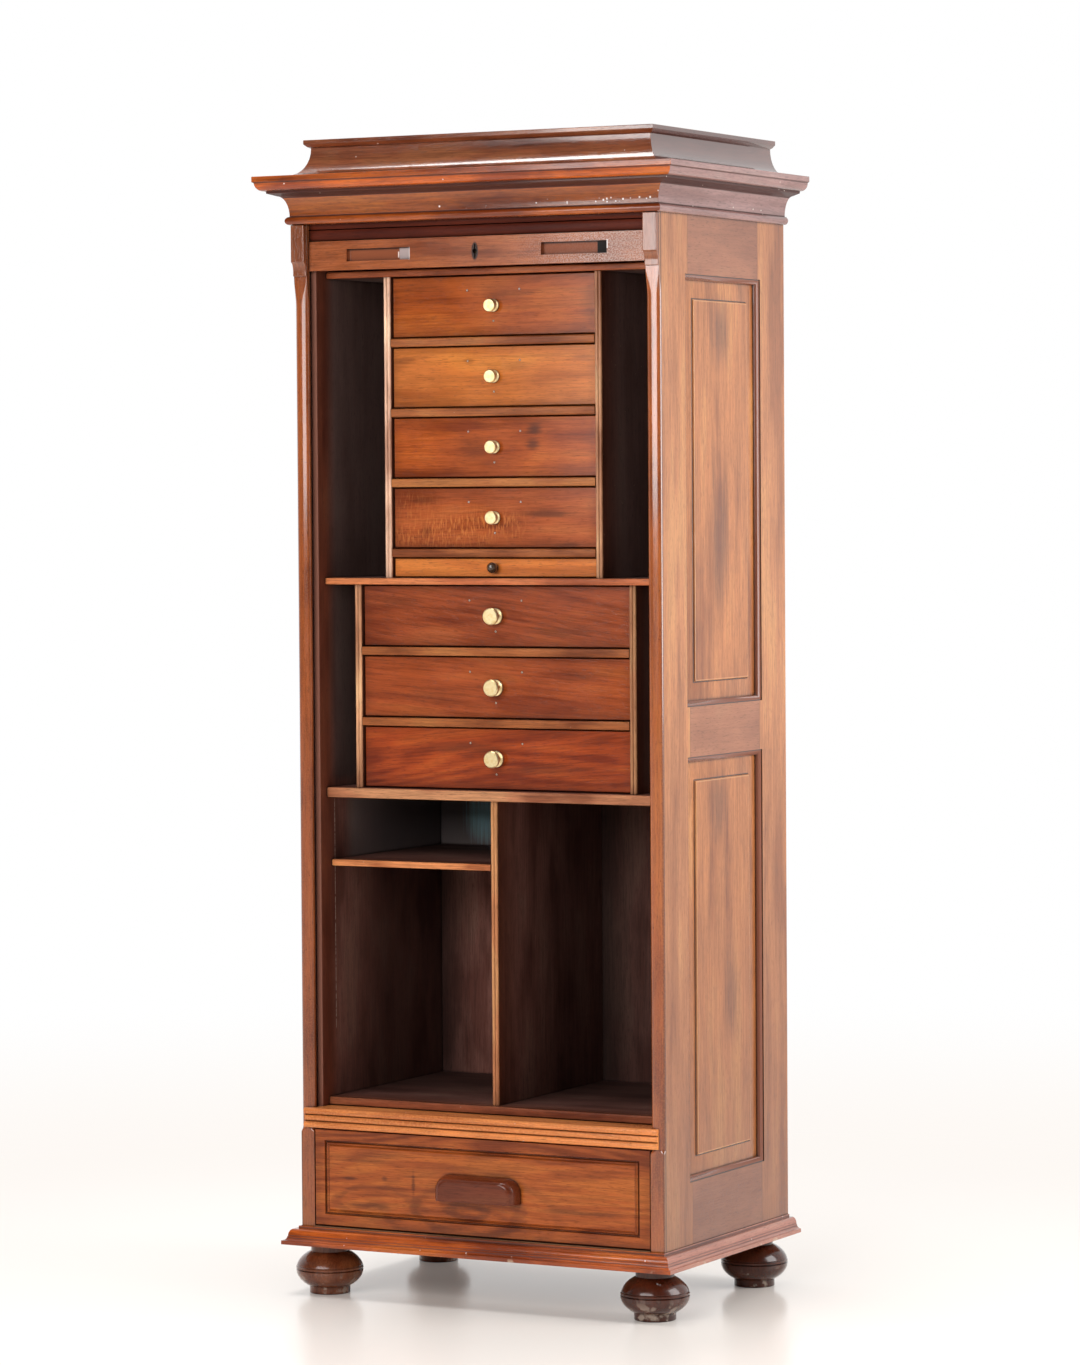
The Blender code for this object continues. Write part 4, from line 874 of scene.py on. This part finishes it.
def deep_color(wood, lit):
    """The dark wood inside the case, dustier and greyer beside the drawers and painted lighter to the right
    there; lit paints light and shade into the lower part.
    """
    graph = wood.graph
    inner = graph.mix(1.0, wood_color(wood, INNER_TONE, 0.9, (0.3, 1.0)), lit, "MULTIPLY")
    right = graph.remap(graph.x, *SLOT_RUN, 1.0, 1.30)
    slot = graph.mix(1.0, wood_color(wood, SLOT_TONE, 0.4), right, "MULTIPLY")
    return graph.mix(graph.remap(graph.z, LOWER_SHELF_HIGH.z, LOWER_SHELF_HIGH.z + SLOT_RISE), inner, slot)


def inner_wood(name, node, axis, edge_tone, seed, dim=1.0, shade_and_dirt=0.85):
    """A board inside the case: its front edge in its own tone, then red-brown, then darker towards the back
    as painted shade.
    """
    graph, wood = board(name, axis, seed)
    depth = graph.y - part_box(node)[0].y
    # Painted light: brighter near the opening and darker further in, lowered by dim.
    lit = graph.remap(depth, *LIT_FADE, 1.45 * dim, 0.70 * dim)
    color = graph.mix(graph.remap(depth, *NEAR_FADE), wood_color(wood, NEAR_TONE, 0.6), deep_color(wood, lit))
    color = graph.mix(graph.remap(depth, *EDGE_FADE), wood_color(wood, edge_tone, 1.0, (0.6, 1.2)), color)
    color = specks(graph, color, DUST_CELL, DUST_SIZE, 0.10, DUST_TINT)
    gloss = graph.remap(depth, *GLOSS_FADE, 0.30, 0.75)
    return polish(wood, color, (gloss, gloss), specular=0.22, coat=0.0, shade_and_dirt=shade_and_dirt)


def pigeonhole(graph):
    """A mask of the heights between the small shelf and the lower shelf."""
    return graph.within(graph.z, SMALL_SHELF_Z, LOWER_SHELF_LOW.z, HOLE_SOFT)


def lining_wood(name):
    """The linings: red-brown near the opening, with a thin pale line, and darker further in as painted shade.
    """
    graph, wood = board(name, "Z", 8.0)
    depth = graph.y - LINING_LOW.y
    # Painted light: the linings' lower part brighter near the opening, darker further in.
    dark = deep_color(wood, graph.remap(depth, *LINING_LIT, 1.60, 0.62))
    color = graph.mix(graph.remap(depth, *LINING_NEAR), wood_color(wood, LINING_TONE, 0.7), dark)
    color = graph.mix(pigeonhole(graph) * graph.remap(depth, *LINING_HOLE, 0.0, 0.75), color, HOLE_TONE)
    color = graph.mix(graph.remap(depth, *LINING_EDGE, 0.8, 0.0), color, LINING_EDGE_TONE)
    line = graph.within(depth, *PALE_LINE_DEPTH, PALE_LINE_SOFT) * graph.within(graph.z, *PALE_LINE_Z, HOLE_SOFT)
    dotted = graph.remap(graph.noise(graph.combine(0.0, 0.0, graph.z * PALE_LINE_DOTS), 1.0), 0.3, 0.6)
    color = graph.mix(line * dotted, color, PALE_LINE_TINT)
    return polish(wood, color, rough=(0.5, 0.65), specular=0.3, coat=0.0)


def false_back_wood(name):
    """The false back, painted lighter to the right in each compartment, where more light falls, with a
    blue-green bloom in the pigeonhole.
    """
    graph, wood = board(name, "Z", 9.0)
    # Painted light: brighter towards the right of each compartment.
    left = graph.remap(graph.x, LINING_HIGH.x, LINING_HIGH.x + BACK_GLOW_W, 0.50, 2.10)
    right = graph.remap(graph.x, PARTITION_X, PARTITION_X + BACK_GLOW_W, 0.28, 0.92)
    beyond = graph.x > PARTITION_X - 0.001
    color = deep_color(wood, right * beyond + left * (1.0 - beyond))
    color = graph.mix(pigeonhole(graph) * (1.0 - beyond), color, HOLE_TONE)
    color = stain(wood, color, [BLOOM], BLOOM_TONE)
    return polish(wood, color, rough=(0.65, 0.75), specular=0.2, coat=0.0)


def lead_rail_wood(name, tone):
    """The lead rail: crackled varnish with a painted sheen to the right, and worn finger pulls with a painted
    shadow under their top.
    """
    graph, wood = board(name, "X", 4.0)
    up = graph.z - LEAD_MIDDLE_Z
    speckle = graph.remap(graph.scaled_noise(MOTTLE_SCALE), 0.40, 0.62, 0.10, 1.0)
    # Painted sheen to the right, broken up by the crazed varnish
    crazed_sheen = graph.remap(graph.x, *RAIL_SHEEN, 0.0, 0.60) * speckle
    color = graph.mix(crazed_sheen, wood_color(wood, tone, 0.9), CRAZED_SHEEN_TINT)
    sunk = graph.y > LEAD_LOW.y + PULL_DEPTH
    # Painted shadow: the pulls are dark under their top edge and lighter below.
    pull = graph.mix(graph.remap(up, *PULL_SHADOW), *PULL_TONES)
    color = graph.mix(sunk * 0.85, color, pull)
    off = wood.flat - (0.0, LEAD_MIDDLE_Z, 0.0)
    ring = (off * (1 / KEYHOLE_R, 2 / KEYHOLE_H, 0.0)).length()
    color = graph.mix(graph.remap(ring, 1.0, 1.45, 0.95, 0.0), color, NEAR_BLACK_TINT)
    for x0, x1, low, high, tint in PULL_PATCHES:
        inside = graph.within(up, low, high, PATCH_SOFT_Z) * graph.within(graph.x, x0, x1, PATCH_SOFT_X)
        color = graph.mix(inside, color, tint)
    return polish(wood, color, rough=(0.14, 0.24), dull=sunk * 0.7, crackle=1.0)


def foot_wood(name, tone):
    """Turned feet: dark and glossy, with pale scuffs low down."""
    graph, wood = board(name, "Z", 6.0, STRAIGHT)
    rubbed = graph.remap(graph.scaled_noise(70.0, 4.0), 0.54, 0.66, 0.0, 0.75)
    scuffs = graph.remap(graph.z, *SCUFF_Z, 1.0, 0.0) * rubbed
    color = graph.mix(scuffs, wood_color(wood, tone, 0.9), SCUFF_TINT)
    return polish(wood, color, rough=(0.12, 0.20), coat=0.4, coat_rough=0.08)


def slat_wood(name, tone):
    """Slats: grain along each slat, by its height in the closed curtain, and each slat its own shade."""
    graph = Graph(name)
    height = Value(graph, graph.add("Attribute", attribute_name="closed_z").outputs["Fac"])
    wood = Wood(graph, graph.combine(graph.x, height, 0.0), 7.0, STRAIGHT)
    count = graph.math("FLOOR", height / SLAT_PITCH)
    own = graph.noise(graph.combine(0.0, count * 3.7, 0.0), 0.0)
    color = graph.mix(graph.remap(own, 0.3, 0.7, 0.0, 0.55), wood_color(wood, tone), shade(tone, 0.45))
    return polish(wood, color, rough=(0.3, 0.45), specular=0.1, coat=0.0)


def canvas(name):
    """The curtain's canvas backing: a plain weave."""
    graph = Graph(name)
    weave = graph.math("SINE", graph.x * THREADS) * graph.math("SINE", graph.z * THREADS)
    color = graph.ramp(graph.remap(weave, -1.0, 1.0), ((0.2, (0.24, 0.19, 0.12)), (0.8, (0.42, 0.35, 0.24))))
    dirt_and_shade = graph.remap(graph.scaled_noise(14.0, 3.0), 0.4, 0.7, 0.0, 0.5)
    color = graph.mix(dirt_and_shade, color, (0.16, 0.11, 0.07))
    return graph.surface({"Base Color": color, "Roughness": graph.remap(weave, -1.0, 1.0, 0.85, 0.95)})


def brass(name, lightness=1.0):
    """Brass, tarnished in patches, and dark where it isn't polished."""
    graph = Graph(name)
    blotch = graph.scaled_noise(220.0, 3.0)
    stops = ((0.30, (0.76, 0.56, 0.26)), (0.55, (0.84, 0.67, 0.37)), (0.8, (0.90, 0.75, 0.47)))
    color = graph.ramp(blotch, [(place, shade(tone, lightness)) for place, tone in stops])
    color = shade_and_grime(graph, color, BRASS_GRIME_REACH, 0.5)
    rough = graph.remap(blotch, 0.3, 0.7, 0.42, 0.34)
    return graph.surface({"Base Color": color, "Roughness": rough, "Metallic": 1.0})


def steel(name):
    """Dark, brushed steel."""
    graph = Graph(name)
    brushed = graph.noise(graph.place * (60.0, 60.0, 1600.0))
    color = graph.ramp(brushed, ((0.3, (0.018, 0.016, 0.014)), (0.7, (0.045, 0.040, 0.036))))
    rough = graph.remap(brushed, 0.3, 0.7, 0.45, 0.65)
    return graph.surface({"Base Color": color, "Roughness": rough, "Metallic": 1.0})


def filler(name, color):
    """What fills an old hole, wax or dirt, or lines the keyhole in near-black as painted shade; mottled."""
    graph = Graph(name)
    mottle = graph.scaled_noise(1500.0)
    mixed = graph.ramp(mottle, ((0.3, shade(color, 0.6)), (0.7, color)))
    return graph.surface({"Base Color": mixed, "Roughness": graph.remap(mottle, 0.3, 0.7, 0.5, 0.8)})


def joined(node):
    """A node's mesh with its doubled points joined."""
    bm = bmesh.new()
    bm.from_mesh(frame["nodes"][node].data)
    bmesh.ops.remove_doubles(bm, verts=bm.verts, dist=WELD)
    return bm


def eased(node, bevel, segments):
    """A node's mesh with its flat faces made whole and its hard edges eased."""
    bm = joined(node)
    bmesh.ops.dissolve_limit(bm, angle_limit=LEVEL_ANGLE, verts=bm.verts, edges=bm.edges)
    if bevel:
        limit = radians(HARD_DEGREES)
        hard = [e for e in bm.edges if len(e.link_faces) == 2 and e.calc_face_angle(0) > limit]
        bmesh.ops.bevel(
            bm, geom=hard, offset=bevel, offset_type="OFFSET", segments=segments,
            profile=0.5, affect="EDGES", clamp_overlap=True,
        )
    return bm


def bridge(bm, rows):
    """Faces between rings of points; a ring may be one point. Gives (row, place in it, face) of each."""
    made = []
    for row, (lower, upper) in enumerate(zip(rows, rows[1:])):
        count = max(len(lower), len(upper))
        for i in range(count):
            j = (i + 1) % count
            spots = ((lower, i), (lower, j), (upper, j), (upper, i))
            corners = dict.fromkeys(ring[k % len(ring)] for ring, k in spots)
            made.append((row, i, bm.faces.new(list(corners))))
    return made


def turned_profile(bm, spot):
    """The (radius, height) points of a turned mesh from its lower end to its upper one."""
    beside = {}
    for edge in bm.edges:
        first, second = (spot(vert) for vert in edge.verts)
        if first != second:
            beside.setdefault(first, set()).add(second)
            beside.setdefault(second, set()).add(first)
    ends = [point for point, others in beside.items() if len(others) == 1]
    path = [min(ends, key=lambda point: point[1])]
    while len(path) < len(beside):
        path.append(next(point for point in beside[path[-1]] if point not in path))
    return path


def turned_again(node, upright, steps):
    """A turned node spun again from its own profile, with more steps, about Z if upright and Y if not."""
    bm = joined(node)
    low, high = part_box(node)
    middle = (low + high) / 2

    def spot(vert):
        off = vert.co - middle
        across = (off.x, off.y) if upright else (off.x, off.z)
        return round(Vector(across).length, 5), round(vert.co.z if upright else -vert.co.y, 5)

    profile = turned_profile(bm, spot)
    bm.free()
    made = bmesh.new()

    def ring(radius, height):
        count = steps
        if radius < 2 * WELD:
            count, radius = 1, 0
        row = []
        for i in range(count):
            turn = 2 * pi * i / count
            across, beside = radius * cos(turn), radius * sin(turn)
            if upright:
                place = (middle.x + across, middle.y + beside, height)
            else:
                place = (middle.x + across, -height, middle.z + beside)
            row.append(made.verts.new(place))
        return row

    rows = [ring(*point) for point in profile]
    bridge(made, rows)
    for row in (rows[0], rows[-1]):
        if len(row) > 1:
            made.faces.new(row)
    bmesh.ops.recalc_face_normals(made, faces=made.faces)
    return made


def add_piece(name, bm, materials, body, smooth=HARD_DEGREES):
    """A piece, riding on a body if one is given; smooth is its sharpest rounded edge in degrees, or None to
    keep marks.
    """
    mesh = bpy.data.meshes.new(name)
    bm.to_mesh(mesh)
    bm.free()
    if smooth is not None:
        mesh.shade_smooth()
        mesh.set_sharp_from_angle(angle=radians(smooth))
    for material in materials:
        mesh.materials.append(material)
    piece = bpy.data.objects.new(name, mesh)
    bpy.context.scene.collection.objects.link(piece)
    if body:
        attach(piece, body)
    return piece


def stand_in(node, bm, material, smooth):
    """A finished piece in a node's own place, riding on its body."""
    for face in bm.faces:
        face.material_index = 0
    piece = add_piece(node + "_finish", bm, [material], frame["nodes"][node]["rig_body"], smooth)
    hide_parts(node)
    return piece


def dress(node, material, bevel=0.0006, segments=2, smooth=HARD_DEGREES):
    """A board or moulding: eased edges, and flat faces that shade flat."""
    piece = stand_in(node, eased(node, bevel, segments), material, smooth)
    even = piece.modifiers.new("even faces", "WEIGHTED_NORMAL")
    even.keep_sharp = True
    return piece


def dress_turned(node, material, upright=False, steps=KNOB_STEPS):
    """A turned foot or knob."""
    return stand_in(node, turned_again(node, upright, steps), material, TURNED_DEGREES)


def stile_front(piece, material):
    """Put a material of its own on the rounded front of a side frame's stile."""
    piece.data.materials.append(material)
    for face in piece.data.polygons:
        if face.normal.y < -0.05 and face.center.y < SIDE_LOW.y + STILE_LIP_T:
            face.material_index = 1


def carcass():
    side = side_frame_wood(
        "side frame wood", (0.47, 0.178, 0.066), (0.335, 0.126, 0.062), (0.26, 0.080, 0.028),
    )
    fronts = {
        # The left stile's front is a darker copy of the right's: painted shade that holds down the light it
        # catches.
        "left": stile_front_wood("left stile front wood", (0.30, 0.070, 0.017), specular=0.5, coat=0.6),
        "right": stile_front_wood("right stile front wood", (0.36, 0.083, 0.017), specular=0.7, coat=0.85),
    }
    capital = board_wood("capital wood", (0.27, 0.080, 0.030), "Z", 3.0, **CAPITAL_FINISH)
    feet = {
        "left": foot_wood("left foot wood", (0.178, 0.048, 0.0165)),
        "right": foot_wood("right foot wood", (0.070, 0.015, 0.006)),
    }
    for word in SIDES:
        stile_front(dress(f"{word}_side_frame", side, bevel=0), fronts[word])
        for seed, (level, marks) in enumerate(PANEL_MARKS.items(), 1):
            node = f"{word}_{level}_panel"
            dress(node, panel_wood(node, marks, seed), **PLAIN_EDGE)
        dress(f"{word}_capital", capital, **CAPITAL_EDGE)
        for end in ("front", "rear"):
            dress_turned(f"{end}_{word}_foot", feet[word], upright=True, steps=FOOT_STEPS)
    # Each moulding's second tone is its side runs', greyer with a painted sheen.
    dress("cornice", moulding_wood(
        "cornice wood", (0.37, 0.076, 0.0100), (0.31, 0.165, 0.150), 2.0, 0.12,
        CORNICE_LOW.z, CORNICE_QUIRKS, CORNICE_MEMBER_SHADING, painted=True, **WAXED,
    ))
    cap = moulding_wood("cap wood", (0.22, 0.060, 0.022), (0.13, 0.048, 0.036), 1.0, 0.10, **GLOSSY)
    dress("top_cap", cap)
    dress("base_moulding", moulding_wood(
        "base wood", (0.45, 0.084, 0.010), (0.40, 0.150, 0.100), 3.0, 0.08,
        BASE_FOOT_Z, BASE_QUIRKS, chips=0.8, **WAXED,
    ))
    dress("waist_rail", rail_wood("rail wood", (0.76, 0.242, 0.070)))
    dress("frieze_rail", board_wood("frieze wood", (0.12, 0.036, 0.018), "X", 6.0))
    dress("bottom_board", board_wood("bottom wood", (0.24, 0.11, 0.050), "X", 8.0, PLAIN, **RAW))
    dress("back_panel", board_wood("back wood", (0.33, 0.152, 0.068), "Z", 7.0, PLAIN, **RAW), bevel=0)


def inner_case():
    lining = lining_wood("lining wood")
    for word in SIDES:
        dress(f"{word}_lining", lining)
    dress("false_back", false_back_wood("false back wood"))
    for node, (axis, edge_tone, seed, settings) in INNER_BOARDS.items():
        wood = inner_wood(node.replace("_", " ") + " wood", node, axis, edge_tone, seed, **settings)
        if node == "compartment_floor":
            dress(node, wood)
        elif "partition" in node:
            dress(node, wood, bevel=0)
        else:
            dress(node, wood, **NOSE)
    divider = inner_wood("dust board wood", DUST_BOARDS[0], "X", (0.35, 0.104, 0.030), 8.0)
    for node in DUST_BOARDS:
        dress(node, divider, **NOSE)


def old_holes(node, materials):
    """The plugged holes of a drawer's earlier handle: a dark rim round a pale filling."""
    low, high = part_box(node)
    middle_z = (low.z + high.z) / 2
    turns = [2 * pi * i / OLD_HOLE_STEPS for i in range(OLD_HOLE_STEPS)]
    bm = bmesh.new()
    for x, up in OLD_HOLES:
        rows = []
        for share, proud in OLD_HOLE_PROFILE:
            radius = OLD_HOLE_R * share
            places = [(x + radius * cos(a), low.y - proud, middle_z + up + radius * sin(a)) for a in turns]
            rows.append([bm.verts.new(place) for place in places])
        for row, _, face in bridge(bm, rows):
            face.material_index = int(row == len(rows) - 2)
        bm.faces.new(rows[0])
        bm.faces.new(rows[-1]).material_index = 1
    bmesh.ops.recalc_face_normals(bm, faces=bm.faces)
    add_piece(node + "_old_holes", bm, materials, frame["nodes"][node]["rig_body"])


def drawers():
    metal = brass("brass")
    plugs = (filler("old hole rim", (0.05, 0.02, 0.01)), filler("old hole filling", (0.88, 0.70, 0.54)))
    for seed, (tier, number, tone, looks, settings, marks) in enumerate(DRAWERS, 1):
        node = f"{tier}_drawer_{number}"
        dress(node, drawer_wood(node, tone, seed, marks, looks, **settings), **DRAWER_EDGE)
        dress_turned(f"{tier}_knob_{number}", metal)
        old_holes(node, plugs)
    slide = drawer_wood("writing_slide", (0.75, 0.206, 0.040), 11.0, looks=SLIDE_LOOKS)
    dress("writing_slide", slide, **SLIDE_EDGE)
    dark = dict(rough=(0.15, 0.25), coat=1.0, coat_rough=0.05)
    dress_turned("writing_slide_knob", board_wood("slide knob wood", (0.06, 0.032, 0.018), "Y", 9.0, **dark))
    bottom = drawer_wood(
        "bottom_drawer", (0.385, 0.084, 0.0145), 12.0, BOTTOM_MARKS, looks=BOTTOM_LOOKS,
        front_t=BOTTOM_FRONT_T, knots=BOTTOM_KNOTS,
    )
    dress("bottom_drawer", bottom, **BOTTOM_EDGE)
    pull = board_wood("handle wood", (0.150, 0.031, 0.011), "X", 10.0, rough=(0.12, 0.20), coat_rough=0.08)
    dress("bottom_drawer_handle", pull, smooth=60, **PLAIN_EDGE)


def keyhole_outline(inset):
    """The keyhole's (x, z) outline about its middle, drawn in by inset, anticlockwise from the right."""
    radius = KEYHOLE_R - inset
    half = KEYHOLE_SLIT_W / 2 - inset
    reach = KEYHOLE_H / 2 - inset
    corner = acos(half / radius)
    right = [-corner + 2 * corner * i / KEYHOLE_STEPS for i in range(KEYHOLE_STEPS + 1)]
    points = [(radius * cos(a), radius * sin(a)) for a in right]
    points += [(half, reach), (-half, reach)]
    points += [(-x, -z) for x, z in points[:KEYHOLE_STEPS + 1]]
    return points + [(-half, -reach), (half, -reach)]


def keyhole_liner(material):
    """A near-black tube of the keyhole's outline, let into the lead rail: painted shade inside the keyhole.
    """
    bm = bmesh.new()
    rows = []
    for inset, depth in ((LINER_GAP, 0.0), (LINER_GAP, LINER_DEPTH), (LINER_T, LINER_DEPTH), (LINER_T, 0.0)):
        places = [(x, LEAD_LOW.y + depth, LEAD_MIDDLE_Z + z) for x, z in keyhole_outline(inset)]
        rows.append([bm.verts.new(place) for place in places])
    bridge(bm, rows + rows[:1])
    bmesh.ops.recalc_face_normals(bm, faces=bm.faces)
    add_piece("keyhole_liner", bm, [material], "shutter")


def share_moved(z):
    """How much of the shutter's motion a curtain point at this height takes."""
    t = min(max((STACK_TOP_Z - z) / (STACK_TOP_Z - STACK_LOW_Z), 0), 1)
    return t * t * (3 - 2 * t)


def open_height(closed_z):
    """The height, with the shutter open, of a curtain point that is at closed_z once it is closed."""
    low, high = LEAD_LOW.z, STACK_TOP_Z
    for _ in range(HALVINGS):
        middle = (low + high) / 2
        if middle - SHUTTER_TRAVEL * share_moved(middle) < closed_z:
            low = middle
        else:
            high = middle
    return (low + high) / 2


def slat_stations():
    """The closed curtain from its foot up: (height, thickness, whether the edge there is sharp)."""
    bottom = LEAD_HIGH.z + CURTAIN_GAP - SHUTTER_TRAVEL
    slats = int((STACK_TOP_Z - STACK_GAP - bottom) / SLAT_PITCH)
    stations = []
    for i in range(slats):
        start = bottom + i * SLAT_PITCH
        stations.append((start, SLAT_GROOVE_T, True))
        stations.append((start + SLAT_SHOULDER, SLAT_T - SLAT_CROWN, True))
        for share in CROWN_STEPS:
            stations.append((start + share * SLAT_PITCH, SLAT_T - SLAT_CROWN * (2 * share - 1) ** 2, False))
        stations.append((start + SLAT_PITCH - SLAT_SHOULDER, SLAT_T - SLAT_CROWN, True))
    return stations + [(bottom + slats * SLAT_PITCH, SLAT_GROOVE_T, True)]


def curtain_front(materials):
    """The slats in the opening. Those above it lie packed close behind the cornice, at the heights from which
    they would spread as it closes.
    """
    stations = slat_stations()
    x = CURTAIN_HIGH.x
    rear = CURTAIN_LOW.y + SLAT_T
    bm = bmesh.new()
    heights = bm.verts.layers.float.new("closed_z")
    rows = []
    for closed_z, thickness, _ in stations:
        z = open_height(closed_z)
        corners = ((-x, rear), (x, rear), (x, rear - thickness), (-x, rear - thickness))
        row = [bm.verts.new((px, py, z)) for px, py in corners]
        for vert in row:
            vert[heights] = closed_z
        rows.append(row)
    for _, i, face in bridge(bm, rows):
        face.material_index = int(i == 0)
        face.smooth = True
    bm.faces.new(rows[0])
    bm.faces.new(rows[-1])
    bmesh.ops.recalc_face_normals(bm, faces=bm.faces)
    for edge in bm.edges:
        edge.smooth = False
    for row, (_, _, sharp) in zip(rows, stations):
        bm.edges.get((row[0], row[1])).smooth = True
        bm.edges.get((row[2], row[3])).smooth = not sharp
    piece = add_piece("curtain_front", bm, materials, None, None)
    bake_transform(piece)
    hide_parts("curtain")


def curtain_stored(material):
    """The slats that have gone over the top and down the back."""
    bm = joined("curtain")
    cut = dict(plane_co=(0, CURTAIN_CUT_Y, 0), plane_no=(0, 1, 0), clear_inner=True)
    bmesh.ops.bisect_plane(bm, geom=bm.verts[:] + bm.edges[:] + bm.faces[:], **cut)
    bmesh.ops.holes_fill(bm, edges=[edge for edge in bm.edges if edge.is_boundary])
    heights = bm.verts.layers.float.new("closed_z")
    for vert in bm.verts:
        vert[heights] = vert.co.z + vert.co.y
    for face in bm.faces:
        face.material_index = 0
    bmesh.ops.recalc_face_normals(bm, faces=bm.faces)
    piece = add_piece("curtain_stored", bm, [material], "cabinet", STORED_DEGREES)
    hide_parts("curtain")


def shutter():
    slats = slat_wood("slat wood", (0.102, 0.0148, 0.0052))
    dress("lead_rail", lead_rail_wood("lead rail wood", (0.34, 0.092, 0.029)), bevel=0)
    dress("lock_case", steel("lock steel"))
    # Painted shade: the bolt's brass is darkened to 0.12 of its colour, as it sits in the dark behind the
    # keyhole.
    dress("lock_bolt", brass("bolt brass", 0.12))
    keyhole_liner(filler("keyhole liner", (0.035, 0.016, 0.009)))
    curtain_front([slats, canvas("canvas")])
    curtain_stored(slats)


def camera():
    flat = cos(CAMERA_DIP)
    forward = Vector((-sin(CAMERA_YAW) * flat, cos(CAMERA_YAW) * flat, -sin(CAMERA_DIP)))
    level = Vector((cos(CAMERA_YAW), sin(CAMERA_YAW), 0))
    up = level.cross(forward)
    right = cos(CAMERA_ROLL) * level + sin(CAMERA_ROLL) * up
    top = cos(CAMERA_ROLL) * up - sin(CAMERA_ROLL) * level
    data = bpy.data.cameras.new("camera")
    data.lens = LENS_MM
    data.sensor_width = SENSOR_MM
    data.clip_end = CLIP_END
    view = bpy.data.objects.new("camera", data)
    turn = Matrix((right, top, -forward)).transposed().to_4x4()
    view.matrix_world = Matrix.Translation(CAMERA_PLACE) @ turn
    bpy.context.scene.collection.objects.link(view)
    bpy.context.scene.camera = view


def softbox(name, place, aim, width, height, watts):
    data = bpy.data.lights.new(name, "AREA")
    data.shape = "RECTANGLE"
    data.size = width
    data.size_y = height
    data.energy = watts
    lamp = bpy.data.objects.new(name, data)
    lamp.location = place
    lamp.rotation_euler = (Vector(aim) - Vector(place)).to_track_quat("-Z", "Y").to_euler()
    bpy.context.scene.collection.objects.link(lamp)


def shown_white(nodes, backdrop):
    """1 for the camera's rays, and for those off or through the object that go to the white backdrop."""
    rays = nodes.add("LightPath").outputs
    onward = nodes.math("MAXIMUM", rays["Is Glossy Ray"], rays["Is Transmission Ray"])
    return nodes.math("MAXIMUM", rays["Is Camera Ray"], onward * backdrop)


def world():
    """A white background; as a light, a white cyclorama behind and a dimmer room in front."""
    made = bpy.data.worlds.new("studio")
    made.use_nodes = True
    bpy.context.scene.world = made
    nodes = Nodes(made.node_tree)
    nodes.tree.nodes.clear()
    back = nodes.axes(nodes.add("TexCoord").outputs["Generated"])[1]
    dim = nodes.add("Background", {"Color": WHITE, "Strength": nodes.remap(back, *ROOM_TURN, *ROOM_LIGHT)})
    white = nodes.add("Background", {"Color": WHITE})
    seen = shown_white(nodes, nodes.remap(back, *BACKDROP_TURN, smooth=False))
    mixed = nodes.add("MixShader", {0: seen, 1: dim.outputs[0], 2: white.outputs[0]})
    nodes.add("OutputWorld", {0: mixed.outputs[0]})


def floor():
    """A pale, slightly glossy floor that runs out to white."""
    graph = Graph("floor")
    patches = graph.scaled_noise(0.7)
    graph.surface({
        "Base Color": graph.ramp(patches, ((0.3, (0.99, 0.925, 0.855)), (0.7, (0.995, 0.95, 0.895)))),
        "Roughness": graph.remap(patches, 0.3, 0.7, 0.14, 0.22),
    })
    off = graph.place.length()
    far = graph.remap(off, *FLOOR_FADE)
    warm = graph.mix(graph.remap(off, *FLOOR_WARMTH), (0.99, 0.945, 0.905), WHITE)
    glow = graph.add("Emission", {"Color": warm, "Strength": 1.0})
    seen = shown_white(graph, far * FLOOR_MIRROR) * (far * (1 - FLOOR_LIFT) + FLOOR_LIFT)
    mixed = graph.add("MixShader", {0: seen, 1: graph.shader.outputs[0], 2: glow.outputs[0]})
    graph.feed(graph.tree.nodes["Material Output"].inputs[0], mixed.outputs[0])
    bm = bmesh.new()
    bmesh.ops.create_grid(bm, x_segments=2, y_segments=2, size=FLOOR_HALF)
    mesh = bpy.data.meshes.new("floor")
    bm.to_mesh(mesh)
    bm.free()
    mesh.materials.append(graph.material)
    plane = bpy.data.objects.new("floor", mesh)
    bpy.context.scene.collection.objects.link(plane)


def stage():
    bpy.context.scene.view_settings.view_transform = "Standard"
    camera()
    world()
    floor()
    for name, light in LIGHTS.items():
        softbox(name, *light)


carcass()
inner_case()
drawers()
shutter()
stage()
